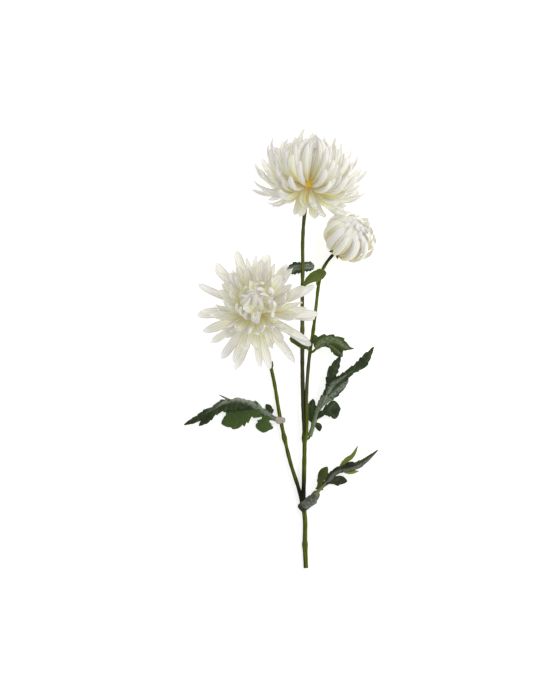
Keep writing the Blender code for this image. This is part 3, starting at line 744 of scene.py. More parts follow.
    def lines(self, draw: dict[str, np.ndarray], at: np.ndarray,
              axes: np.ndarray) -> tuple[np.ndarray, ...]:
        """Centre lines of petals and the directions across and into them.

        Args:
            draw: the petals' numbers.
            at: shares of the length.
            axes: two directions across the axis that they stand round, and that axis.

        Returns:
            Centre, across and inner, each petals by shares by 3. A petal rises by its start plus
            its curl times a power of the share, turns by its sway, starts on the small dome and
            eases into lying on what is under it.
        """
        share = np.linspace(0.0, 1.0, LINE_STEPS + 1)
        azimuth, start, curl, length, sway, twist = (
            draw[key][:, None] for key in ("azimuth", "start", "curl", "length", "sway", "twist"))
        rise, turn = start + curl * share**self.curl_power, azimuth + sway * share
        ahead = toward(turn, rise)
        steps = 0.5 * (ahead[:, 1:] + ahead[:, :-1]) * length[..., None] / LINE_STEPS
        root = self.dome * toward(azimuth, np.maximum(start, 0.2))
        centre = np.concatenate([np.zeros_like(steps[:, :1]), np.cumsum(steps, axis=1)], axis=1)
        centre = np.asarray(self.heart) + (centre + root) @ axes
        across = np.stack([-np.sin(turn), np.cos(turn), np.zeros_like(turn)], -1) @ axes
        inner = np.cross(ahead @ axes, across)
        angle = (twist * share)[..., None]
        across = np.cos(angle) * across + np.sin(angle) * inner
        rest = np.maximum(LEAST_HEIGHT, self.over(centre)) + LIE_HEIGHT
        low = centre[..., 2] < rest
        drop = np.exp(np.minimum((centre[..., 2] - rest) / LIE_HEIGHT, 0.0))
        centre[..., 2] = np.where(low, rest - LIE_HEIGHT + LIE_HEIGHT * drop, centre[..., 2])
        across[..., 2] *= np.where(low, drop, 1.0)
        if self.neighbour:
            away = centre - np.asarray(self.neighbour[0])
            apart = np.linalg.norm(away, axis=-1, keepdims=True)
            centre = centre + away / apart * np.maximum(self.neighbour[1] - apart, 0.0)
        ahead = unit(np.gradient(centre, axis=1))
        across = unit(across - (across * ahead).sum(axis=-1, keepdims=True) * ahead)
        spot = at * LINE_STEPS
        below = np.minimum(spot.astype(int), LINE_STEPS - 1)
        share = (spot - below)[None, :, None]
        centre, across, inner = (
            (1 - share) * part[:, below] + share * part[:, below + 1]
            for part in (centre, across, np.cross(ahead, across)))
        return centre, unit(across), unit(inner)

    def straps(self, draw: dict[str, np.ndarray], seed: int, axes: np.ndarray,
               climb: float, grid: tuple[int, int]) -> Skin:
        """All petals of a set of draws as channelled straps.

        Args:
            draw: the petals' numbers.
            seed: of the small differences in shape.
            axes: two directions across the axis that they stand round, and that axis.
            climb: how much higher the dye stands in the lowest row, as a share of the length.
            grid: how many rings a petal has and how many columns on each side.

        Returns:
            The skin. A section is an arc: a corner at the share x across stands half the width
            times sin(a x) / a to the side and (1 - cos(a x)) / a inwards, with a falling from a
            tube at the root to a shallower channel at the tip. Ridges lie along it, the margin
            ripples a little, the tip hooks inwards by a square of its share, and sin squared of
            pi x pushes two teeth forward beside a notch.
        """
        press, count = PRESS, len(draw["length"])
        rings, columns = grid
        at = 1.0 - (1.0 - np.linspace(0.0, 1.0, rings)) ** press.crowding
        at = at * press.last_ring
        centre, across, inner = self.lines(draw, np.append(at, 1.0), axes)
        own = np.random.default_rng(seed).uniform(-1.0, 1.0, (count, 8))[:, :, None]
        t, rank = at[None], draw["rank"][:, None]
        # Outline: half the width at each ring
        taper = self.taper + press.taper_stray * own[:, 5] - self.point * rank
        tip = np.clip((t - taper) / (1.0 - taper), 0.0, 1.0)
        grown = press.root_width + (1.0 - press.root_width) * ease(2.0 * t)
        half = 0.5 * draw["width"][:, None] * self.broad * grown * (1.0 - self.slim * rank)
        power = press.tip_power[0] + press.tip_power[1] * own[:, 0]
        half = half * np.maximum(1.0 - tip**power, 0.0) ** press.blunt
        size = half / 5.0
        # Section: sideways and inwards at each corner of each ring
        flat = (press.root_arc - press.tip_arc) * (1.0 - 0.7 * rank) * ease(t / press.open_by)
        arc = (press.root_arc - flat + press.arc_stray * own[:, 1])[..., None]
        x = np.sin(np.linspace(-0.5, 0.5, columns) * np.pi)
        out = half[..., None] * np.sin(arc * x) / arc
        waves = press.waves[0] + press.waves[1] * own[:, 2]
        wave = press.ripple * np.sin(FULL_TURN * waves * t + 3.0 * own[:, 3])
        ridges = press.ridge * np.cos(4.0 * np.pi * x) * (1.0 - np.abs(x) ** 3)
        end = ease((t - press.tip_from) / (1.0 - press.tip_from))
        hook = (press.hook[0] + press.hook[1] * own[:, 6]) * (1.0 - 0.6 * rank) * end**2
        inwards = (half[..., None] * (1.0 - np.cos(arc * x)) / arc
                   + (wave * ease(t / 0.3) * size)[..., None] * np.sign(x) * np.abs(x) ** 3
                   - ridges * size[..., None] + hook[..., None])
        teeth = press.teeth * np.maximum(own[:, 7], 0.0) * end * size
        thin = ease((1.0 - t) / (1.0 - press.thin_from))[..., None]
        body = 0.5 * press.thick * (1.0 - x**4) * thin
        middle, side, inward = (part[:, :-1, None] for part in (centre, across, inner))
        ahead = np.cross(side, inward) * (teeth[..., None] * np.sin(np.pi * x) ** 2)[..., None]
        middle = middle + ahead + side * out[..., None]
        loop = np.concatenate([middle + inward * (inwards - body)[..., None],
                               (middle + inward * (inwards + body)[..., None])[:, :, -2:0:-1]], 2)
        sides = loop.shape[2]
        each = rings * sides + 2
        points = np.concatenate([loop.reshape(count, -1, 3), centre[:, :1], centre[:, -1:]], 1)
        shift = (np.arange(count) * each)[:, None, None]
        faces = [(part + shift).reshape(-1, part.shape[-1]) for part in ring_faces(rings, sides)]
        is_inside = np.repeat([0.5, 0.0, 0.5, 1.0], [1, columns - 2, 1, columns - 2])

        def spread(values: np.ndarray, root_value: float, tip_value: float) -> np.ndarray:
            """One value a point, from a ring grid and the values of the two end points."""
            full = np.broadcast_to(values, (rings, sides)).ravel()
            return np.tile(np.append(full, [root_value, tip_value]), count)

        values = {
            "along": spread(at[:, None], 0.0, 1.0),
            "across": spread(np.concatenate([x, x[-2:0:-1]]), 0.0, 0.0),
            "inside": spread(is_inside, 0.5, 0.5),
            "tint": np.repeat(0.5 + 0.5 * own[:, 4, 0], each),
            "climb": np.repeat(climb * (1.0 - draw["rank"]), each),
        }
        return Skin(points.reshape(-1, 3), faces, values)

    def heart_skin(self) -> Skin:
        """Makes the core.

        Returns:
            An ellipsoid with its underside cut flat at the heart: the sphere's sine and cosine
            of the angle from its pole, times the core's two half-sizes.
        """
        around = np.linspace(0.0, FULL_TURN, 24, endpoint=False)
        down = np.linspace(0.0, np.pi, 14)[1:-1, None]
        ball = np.stack([np.sin(down) * np.cos(around), np.sin(down) * np.sin(around),
                         np.cos(down) + 0.0 * around], -1).reshape(-1, 3)
        place = np.concatenate([ball, [UP, -UP]]) * np.array([self.core[0], *self.core])
        place[:, 2] = np.maximum(place[:, 2], -self.core_rise) + self.core_rise
        points = np.asarray(self.heart) + place @ self.frame()
        return Skin(points, ring_faces(len(down), len(around))).fill(along=0.05, tint=0.5)

    def build(self, material: bpy.types.Material) -> None:
        """Makes the whole head as one piece.

        Args:
            material: the petals' finish.
        """
        drawn = self.parted(self.draws(self.rows, self.seed, Stray()), self.parting[0])
        extra = self.parted(self.draws(self.inner, self.seed + 200, LOOSE), self.parting[1])
        skins = [
            self.heart_skin(),
            self.straps(drawn, self.seed + 100, self.frame(), self.fade, FINE),
            self.straps(extra, self.seed + 300, self.frame(self.lean), self.climb, COARSE),
        ]
        if self.singles:
            skins.append(self.straps(self.placed(), self.seed + 500, self.frame(), SINGLE_CLIMB,
                                     FINE))
        make_piece(self.name + "_petals", self.name, skins, material)


@dataclass(frozen=True)
class Lobe:
    """One side lobe of a leaf: the route of its vein and its widest half-width.

    foot is the half-width where it leaves the blade, as a share of the widest. bright and wash
    say how much of the cloth's bright dye and of its pale wash it has.
    """

    vein: tuple
    half: float
    widest: float = 0.55
    foot: float = 0.5
    bright: float = 0.0
    wash: float = 0.0

    def widths(self, share: np.ndarray) -> np.ndarray:
        """Finds the lobe's half-width.

        Args:
            share: shares of the vein's length.

        Returns:
            A sine of the share, bent so that it peaks at widest, to the power 0.75, or the foot
            where that is wider.
        """
        bend = np.log(0.5) / np.log(self.widest)
        wave = np.sin(np.pi * np.clip(share, 0.0, 1.0) ** bend) ** 0.75
        return self.half * np.maximum(wave, self.foot * np.clip(1.0 - 1.5 * share, 0.0, 1.0))


LOBE_FOLD = np.radians(-4.0)
LOBE_ROLL = np.radians(24.0)
LEAST_ROLL = 0.05
VEIN_SLANT = 0.8  # how far a side vein runs forward for each millimetre outwards
LOBE_WASH = 24.0  # how far a full wash reaches over a lobe
NO_DYE = -4.0
LEAST_HALF_WIDTH = 0.25
RIPPLE_PITCH = (19.0, 27.0)
RIPPLE_HEIGHT = 1.1
GROOVE_HALF_WIDTH = 0.6
GROOVE_DEPTH = 0.4
DYE_BLUR = (3.5, 4.0)  # over which the wash and the stain fade out
TOOTH_DRIFT = (0.22, 31.0)  # share of the pitch by which teeth stray, and over what length


@dataclass(frozen=True)
class Leaf:
    """A leaf: the route of its midrib, its rows of (station, left, right), folds and lobes.

    wash has rows of (station, left, right) that say how far from the midrib the pale wash
    reaches. rolls has rows that say how far each half rolls down. tooth is the pitch of the
    teeth and how deep they cut, as a share of the width. blush is the length from the base
    that is stained brown-pink.
    """

    name: str
    cloth: Cloth
    midrib: tuple
    rows: tuple
    folds: tuple
    seed: int
    lobes: tuple[Lobe, ...] = ()
    stalk: tuple = ()
    wash: tuple = ((0, -5, -5), (1, -5, -5))
    rolls: tuple = ((0, 20, 20), (1, 20, 20))
    blush: float = NO_DYE
    stalk_dye: tuple[float, float] = (0.0, 0.3)
    stalk_radius: float = 1.45
    bright: float = 0.0
    tooth: tuple[float, float] = (9.5, 0.3)
    thick: float = 0.45
    step: float = 1.1
    half_columns: int = 9

    def frame_at(self, points: tuple, at: np.ndarray) -> tuple[np.ndarray, ...]:
        """Finds the directions along a midrib or vein.

        Args:
            points: the points that it runs through.
            at: distances along it.

        Returns:
            For each distance the place, the level direction to its side, and upwards.
        """
        ahead = unit(route(points, at + 0.5) - route(points, at - 0.5))
        side = unit(np.cross(ahead, UP))
        return route(points, at), side, np.cross(side, ahead)

    def blade(self, points: tuple, at: np.ndarray, halves: list[tuple], seed: int, bright: float,
              blush: float) -> Skin:
        """One folded, veined and toothed blade.

        Args:
            points: the route of its midrib.
            at: distances along it.
            halves: for the left and the right half, four numbers at each distance: the width,
                the angle above the level, the angle through which it rolls down to its margin,
                and how far the wash reaches. Angles are in radians.
            seed: of its ripples.
            bright: how much bright dye it has.
            blush: length from the base that is stained.

        Returns:
            The skin. A point at the share x of the width w, less the teeth, stands
            w sin(r x) / r out on its half's slope and w (1 - cos(r x)) / r below it, where r is
            the roll. A ripple that grows with x squared lifts it, and grooves lower it where
            side veins run forward at about 50 degrees.
        """
        rng = np.random.default_rng(seed)
        centre, side, upward = self.frame_at(points, at)
        x = np.linspace(0.0, 1.0, self.half_columns)[None]
        pitch, cut = self.tooth
        drift, period = TOOTH_DRIFT
        made = []
        for sign, (width, fold, roll, reach) in zip((-1.0, 1.0), halves):
            phase = rng.uniform(0.0, 1.0)
            uneven = drift * np.sin(FULL_TURN * (at / period + rng.uniform(0.0, 1.0)))
            saw = np.mod(at / pitch + phase + uneven, 1.0)
            edge = (width * (1.0 - cut * (1.0 - saw**0.7) * ease(width / 5.0)))[:, None]
            out = x * edge
            up, level = np.sin(fold)[:, None], sign * np.cos(fold)[:, None]
            slope = up * upward + level * side
            normal = sign * level * upward - sign * up * side
            ripple = np.sin(FULL_TURN * (at / rng.uniform(*RIPPLE_PITCH) + rng.uniform(0.0, 1.0)))
            vein = np.mod((at[:, None] - VEIN_SLANT * out) / pitch + (phase + uneven)[:, None], 1.0)
            vein = np.exp(-((np.minimum(vein, 1.0 - vein) * pitch / GROOVE_HALF_WIDTH) ** 2))
            vein = vein * ease(out / 1.5) * ease((1.0 - x) / 0.15) * ease(width / 4.0)[:, None]
            roll = np.maximum(roll, LEAST_ROLL)[:, None]
            lift = edge * (np.cos(roll * x) - 1.0) / roll - GROOVE_DEPTH * vein
            lift = lift + RIPPLE_HEIGHT * (ripple * ease(width / 6.0))[:, None] * x * x
            shift = edge * np.sin(roll * x) / roll
            place = (centre[:, None] + shift[..., None] * slope[:, None]
                     + lift[..., None] * normal[:, None])
            made.append((place, vein, ease((reach[:, None] - out) / DYE_BLUR[0] + 0.5)))
        middle, vein, wash = (np.concatenate([left[:, :0:-1], right], axis=1)
                              for left, right in zip(*made))
        middle[..., 2] = np.maximum(middle[..., 2], self.thick)
        skin, origin = sheet(middle, self.thick)
        stained = ease((blush - at) / DYE_BLUR[1] + 0.5)
        skin.values |= {"vein": vein.ravel()[origin], "wash": wash.ravel()[origin],
                        "blush": np.repeat(stained, middle.shape[1])[origin]}
        return skin.fill(bright=bright)

    def rib(self, points: tuple, span: tuple[float, float], radii: tuple[float, float],
            drop: float, dye: tuple[float, float]) -> Skin:
        """A tapered round rib along a midrib or vein.

        Args:
            points: the route.
            span: distances along it where the rib starts and ends.
            radii: at its start and its end.
            drop: how far it lies under the route.
            dye: how much bright dye and pale wash it has.

        Returns:
            The skin.
        """
        at = stations(*span, 1.6)
        centre, _, upward = self.frame_at(points, at)
        skin = tube(centre - drop * upward, np.linspace(*radii, len(at)), 10)
        return skin.fill(vein=1.0, bright=dye[0], wash=dye[1])

    def build(self, materials: dict[Cloth, bpy.types.Material]) -> None:
        """Makes the leaf as one piece: main blade, side lobes and the round midrib.

        Args:
            materials: the finish of each cloth.
        """
        rows = np.array(self.rows, float)
        end = rows[-1, 0]
        at = stations(rows[0, 0], end, self.step)

        def read(table: tuple, column: int) -> np.ndarray:
            """A table's column at the stations, straight between its rows."""
            return np.interp(at, *np.array(table, float)[:, [0, column]].T)

        halves = [(np.maximum(hermite(rows[:, 0], rows[:, k], at), LEAST_HALF_WIDTH),
                   np.radians(read(self.folds, k)), np.radians(read(self.rolls, k)),
                   read(self.wash, k)) for k in (1, 2)]
        skins = [self.blade(self.midrib, at, halves, self.seed, self.bright, self.blush)]
        for number, lobe in enumerate(self.lobes):
            length = chords(lobe.vein)[-1]
            at = stations(0.0, length, self.step)
            even = np.ones(len(at))
            half = (np.maximum(lobe.widths(at / length), LEAST_HALF_WIDTH), LOBE_FOLD * even,
                    LOBE_ROLL * even, (LOBE_WASH * lobe.wash + NO_DYE) * even)
            skins += [self.blade(lobe.vein, at, [half, half], self.seed + 10 + number,
                                 lobe.bright, NO_DYE),
                      self.rib(lobe.vein, (0.0, 0.85 * length), (0.5, 0.2), 0.15,
                               (0.0, lobe.wash))]
        if self.stalk:
            skins += [self.rib(self.midrib, self.stalk, (self.stalk_radius, 0.8), 0.35,
                               self.stalk_dye),
                      self.rib(self.midrib, (self.stalk[1] - 4.0, 0.94 * end), (0.8, 0.25), 0.2,
                               (0.0, 0.5))]
        else:
            skins.append(self.rib(self.midrib, (0.0, 0.9 * end), (0.7, 0.3), 0.15, (0.0, 0.2)))
        make_piece(self.name + "_cloth", self.name, skins, materials[self.cloth])


@dataclass(frozen=True)
class Calyx:
    """The green cup under a head and its ring of sepals."""

    name: str
    drop: float
    depth: float
    rim: float
    sepals: int
    start: float
    curl: float
    length: float
    width: float
    foot: float = 2.5

    def build(self, head: FlowerHead, material: bpy.types.Material) -> None:
        """Makes the cup and its sepals as one piece.

        Args:
            head: the flower head that it holds.
            material: the sepals' finish.
        """
        heights = np.array([-self.drop, -0.3 * self.depth, -0.66 * self.depth, -self.depth])
        radii = np.array([self.rim, 1.06 * self.rim, 0.7 * self.rim, self.foot])
        share = np.linspace(3.0, 0.0, 16)
        radius, height = (np.interp(share, range(4), numbers) for numbers in (radii, heights))
        places = np.asarray(head.heart) + height[:, None] * head.frame()[2]
        skins = [tube(places, radius, 24)]
        skins += [self.sepal(head, index) for index in range(self.sepals)]
        make_piece(self.name + "_sepals", self.name, skins, material)

    def sepal(self, head: FlowerHead, index: int) -> Skin:
        """Makes one sepal.

        Args:
            head: the flower head that it holds.
            index: its place in the ring.

        Returns:
            A pointed strip that rises by its start, plus its curl times the share of its length,
            and narrows by one less that share to the power 2.2.
        """
        azimuth = FULL_TURN * (index + 0.3) / self.sepals
        share = np.linspace(0.0, 1.0, 15)
        rise = np.radians(self.start + self.curl * share)
        steps = self.length / 14
        run = self.rim - self.foot + np.concatenate([[0.0], np.cumsum(np.cos(rise[1:]))]) * steps
        climb = np.concatenate([[0.0], np.cumsum(np.sin(rise[1:]))]) * steps - self.drop - 1.2
        outward = np.array([np.cos(azimuth), np.sin(azimuth), 0.0])
        across = np.array([-np.sin(azimuth), np.cos(azimuth), 0.0])
        x = np.linspace(-1.0, 1.0, 7)
        half = 0.5 * self.width * (0.8 + 0.6 * share) * (1.0 - share**2.2) + 0.1
        grid = (run[:, None] * outward + climb[:, None] * UP)[:, None]
        grid = grid + (half[:, None] * x)[..., None] * across
        grid = grid + (0.14 * half[:, None] * x * x)[..., None] * UP
        grid = np.asarray(head.heart) + grid @ head.frame()
        grid[..., 2] = np.maximum(grid[..., 2], 0.5)
        return sheet(grid, 0.6)[0]


@dataclass(frozen=True)
class Bar:
    """One stem: its route, its radii at both ends and the seed of its lumps.

    brown pairs a place along the picture's height with how brown the stem is there, and dark pairs
    it with how deep the painted shade is there. joints are pairs of such a place and the height of
    the swelling there.
    """

    points: tuple
    radii: tuple[float, float]
    seed: int
    brown: tuple
    dark: tuple
    joints: tuple = ((-223.6, 0.9), (-181, 0.9), (-101, 0.8), (24, 0.3))
    joint_half_length: float = 4.0
    step: float = 1.5
    sides: int = 20
    lump: float = 0.05
    rib: float = 0.025

    def skin(self) -> Skin:
        """A ribbed tube.

        Returns:
            The skin. The radius tapers evenly, swells at each joint by a bell curve and carries
            small lumps from a sum of sines.
        """
        length = chords(self.points)[-1]
        at = stations(0.0, length, self.step)
        line = route(self.points, at)
        radius = self.radii[0] + (self.radii[1] - self.radii[0]) * at / length
        for place, height in self.joints:
            off = (line[:, 1] - place) / self.joint_half_length
            radius = radius + height * np.exp(-(off**2))
        rng = np.random.default_rng(self.seed)
        for wave in rng.uniform(9.0, 34.0, 5):
            radius = radius + self.lump * np.sin(FULL_TURN * at / wave + rng.uniform(0.0, 6.0))
        skin = tube(line, radius, self.sides, self.rib)
        # The dark pairs become painted shade at the forks and on shaded stretches
        for name, pairs in (("brown", self.brown), ("joint", self.dark)):
            numbers = np.interp(line[:, 1], *np.array(pairs, float).T)
            skin.values[name] = np.concatenate([np.repeat(numbers, self.sides), numbers[[0, -1]]])
        # Painted shade: the side away from the light is darkened
        turn = FULL_TURN * np.arange(self.sides) / self.sides
        shaded_side = 0.85 * ease(-0.9 * np.cos(turn) - 0.05)
        skin.values["sprayed"] = np.append(np.tile(shaded_side, len(line)), [0.0, 0.0])
        return skin


@dataclass(frozen=True)
class Stems:
    """The stems, the pegs that carry the leaves and two small green bits, grown as one.

    stubs gives for each leaf the start of its peg in the stem, and its end where the leaf sits
    on it or None where it runs into the midrib. bits are routes, each with three radii.
    """

    bars: tuple[Bar, ...]
    stubs: dict[str, tuple]
    bits: tuple

    def stub(self, leaf: Leaf) -> Skin:
        """Makes the peg that carries a leaf.

        Args:
            leaf: the leaf.

        Returns:
            A round bar from its start in the stem to its end, or narrowing into the midrib.
        """
        root, seat = self.stubs[leaf.name]
        if seat is not None:
            return tube(np.array([root, seat]), np.array([1.9, 1.9]), 16)
        start = route(leaf.midrib, np.array([0.0, 1.0]))
        ahead = unit(start[1] - start[0])
        upward = leaf.frame_at(leaf.midrib, np.array([0.0]))[2]
        end = start[0] - 0.35 * upward[0] - 0.3 * ahead
        return tube(np.array([root, end - 1.9 * ahead, end]), np.array([1.9, 1.4, 1.4]), 16)

    def bit(self, places: tuple, radii: tuple) -> Skin:
        """A small green bit on a branch."""
        return tube(route(places, np.linspace(0.0, chords(places)[-1], 9)),
                    np.interp(np.linspace(0, 2, 9), range(3), radii), 10)

    def build(self, leaves: tuple[Leaf, ...], material: bpy.types.Material) -> None:
        """Makes all of it as one piece.

        Args:
            leaves: the leaves that the stubs carry.
            material: the stems' finish.
        """
        skins = [bar.skin() for bar in self.bars]
        skins += [self.stub(leaf) for leaf in leaves]
        skins += [self.bit(*numbers) for numbers in self.bits]
        make_piece("stems", "stem", skins, material)


@dataclass(frozen=True)
class Studio:
    """The pale floor, the soft lights and the camera straight above, in metres."""

    camera_place: tuple[float, float, float] = (-0.0007, 0.0007, 8.0)
    sharp_plane: float = 0.04
    sensor_mm: float = 36.0
    floor_size: float = 14.0
    floor_glow: float = 0.6
    room_light: tuple[float, float] = (0.2, 0.8)

    def build(self) -> None:
        """Makes the floor, the lights and the camera."""
        scene = bpy.context.scene
        scene.view_settings.view_transform = "Standard"
        self.floor()
        scene.world = self.room()
        self.lamp("key", (1.3, 0.8, 2.0), 1.2, 50.0)
        self.lamp("fill", (-1.4, -0.4, 2.0), 1.8, 10.0)
        camera = bpy.data.cameras.new("camera")
        camera.sensor_width = self.sensor_mm
        view_height = PHOTO_PIXELS_HIGH * PHOTO_MM_PER_PIXEL * MM
        camera.lens = self.sensor_mm * (self.camera_place[2] - self.sharp_plane) / view_height
        camera.clip_end = 100.0
        scene.camera = put("camera", camera, self.camera_place)

    def room(self) -> bpy.types.World:
        """Lights the room.

        Returns:
            A white world, brighter on the right by a straight ramp over the direction.
        """
        world = bpy.data.worlds.new("white_room")
        add = empty_look(world)
        right = add("SeparateXYZ", add("TexCoord", out="Generated"))
        strength = add("MapRange", right, -1.0, 1.0, *self.room_light)
        add("OutputWorld", add("Background", "ffffff", strength))
        return world

    def floor(self) -> None:
        """A matt white table that glows a little, as a light table does, so shadows stay faint."""
        size = 0.5 * self.floor_size
        mesh = bpy.data.meshes.new("floor")
        corners = [(-size, -size, 0.0), (size, -size, 0.0), (size, size, 0.0), (-size, size, 0.0)]
        mesh.from_pydata(corners, [], [(0, 1, 2, 3)])
        material = bpy.data.materials.new("white_table")
        add = empty_look(material)
        add("OutputMaterial", add("BsdfPrincipled", Base_Color="f4f4f4", Roughness=0.9,
                                  Emission_Color="ffffff", Emission_Strength=self.floor_glow))
        mesh.materials.append(material)
        put("floor", mesh)

    def lamp(self, name: str, place: tuple[float, float, float], size: float, power: float) -> None:
        """Adds a square soft light that faces the middle of the table.

        Args:
            name: the light's name.
            place: where it stands.
            size: the side of the square.
            power: in watts.
        """
        light = bpy.data.lights.new(name, "AREA")
        light.size = size
        light.energy = power
        x, y, height = place
        pitch, yaw = np.arctan2(np.hypot(x, y), height), np.arctan2(-x, y)
        put(name, light, place).rotation_euler = (float(pitch), 0.0, float(yaw))


# Routes of the stems, from the cut end or the fork to the head that each carries
MAIN_STEM = (
    (29.2, -251.2, 2.8), (28.1, -223.6, 3.8), (28.1, -194.8, 5), (26.3, -177.6, 6),
    (26.9, -148.8, 7.6), (27.5, -100.5, 10.2), (25.8, -56.8, 12.2), (25, -10, 14.2),
    (25, 24, 16.2), (25, 60, 19), (25.4, 100, 24.5), (25.4, 127, 31.5),
    (26.8, 150, 38.6), (29.7, 173.1, 44.9),
)
LEFT_BRANCH = (
    (26.6, -184, 5.6), (21.5, -162, 6.6), (11.4, -129.8, 6.6), (4.8, -102.8, 5.8),
    (-1.8, -70.6, 5.4), (-7.6, -35.7, 5), (-14.1, -7.7, 4.4), (-19.5, 12, 3.9),
    (-24.2, 27, 3.9), (-27.5, 37.5, 5.6), (-28.7, 43.9, 11.7),
)
RIGHT_BRANCH = (
    (27.5, -106, 10), (29.6, -94, 11.8), (30.2, -75, 13.8), (29.8, -53.4, 14.9),
    (31, -30, 15), (33.9, -1, 14.8), (37.8, 24.5, 15), (41, 52, 15),
    (44.5, 78.9, 13.8), (48.8, 94, 10.8), (53.6, 102.4, 8), (58.8, 108.9, 6.8),
    (63, 113.2, 7.7),
)
MAIN_RADIUS = (2.75, 2.05)
LEFT_RADIUS = (2.3, 2)
RIGHT_RADIUS = (2.15, 1.85)
STEMS = Stems(
    bars=many(
        Bar,
        (MAIN_STEM, MAIN_RADIUS, 1, ((-100, 0), (-80, 0.8), (15, 0.7), (40, 0.3), (160, 0.5)),
         ((-190, 0), (-182, 0.9), (-158, 1), (-148, 0.7), (-136, 0.2), (-110, 0.1),
          (-90, 0.55), (-10, 0.45), (25, 0.1))),
        (LEFT_BRANCH, LEFT_RADIUS, 2, ((-100, 0), (0, 0)),
         ((-182, 1), (-160, 0.95), (-150, 0.6), (-138, 0.15), (-100, 0))),
        (RIGHT_BRANCH, RIGHT_RADIUS, 3, ((-80, 0), (-55, 0.6), (-12, 0.8), (2, 0.3), (12, 0)),
         ((-110, 0), (-70, 0.1), (-4, 0.3), (3, 0.5), (15, 0), (88, 0), (104, 0.7))),
    ),
    stubs={
        "leaf_left": ((2.4, -79.8, 5.5), (2, -80, 8.4)),
        "leaf_right": ((27.6, -103.5, 10), None),
        "leaf_low": ((26.3, -179, 6), (26.8, -178.8, 9.6)),
        "leaf_middle_right": ((34, -2.6, 14.8), None),
        "leaf_middle_left": ((34, -0.6, 14.8), None),
        "leaf_bud": ((47, 88.2, 12.6), (47.2, 88.4, 16.6)),
        "leaf_back": ((25.4, 96.6, 23.9), (25.9, 96.5, 20.8)),
    },
    bits=(
        (((-11.8, -22.5, 4.6), (-9.9, -18, 5.4), (-9.3, -12, 6.4)), (1.3, 1.7, 0.4)),
        (((44.2, 73, 14.6), (42.2, 77, 15.6), (41.6, 81, 16.4)), (1.2, 1.4, 0.4)),
    ),
)
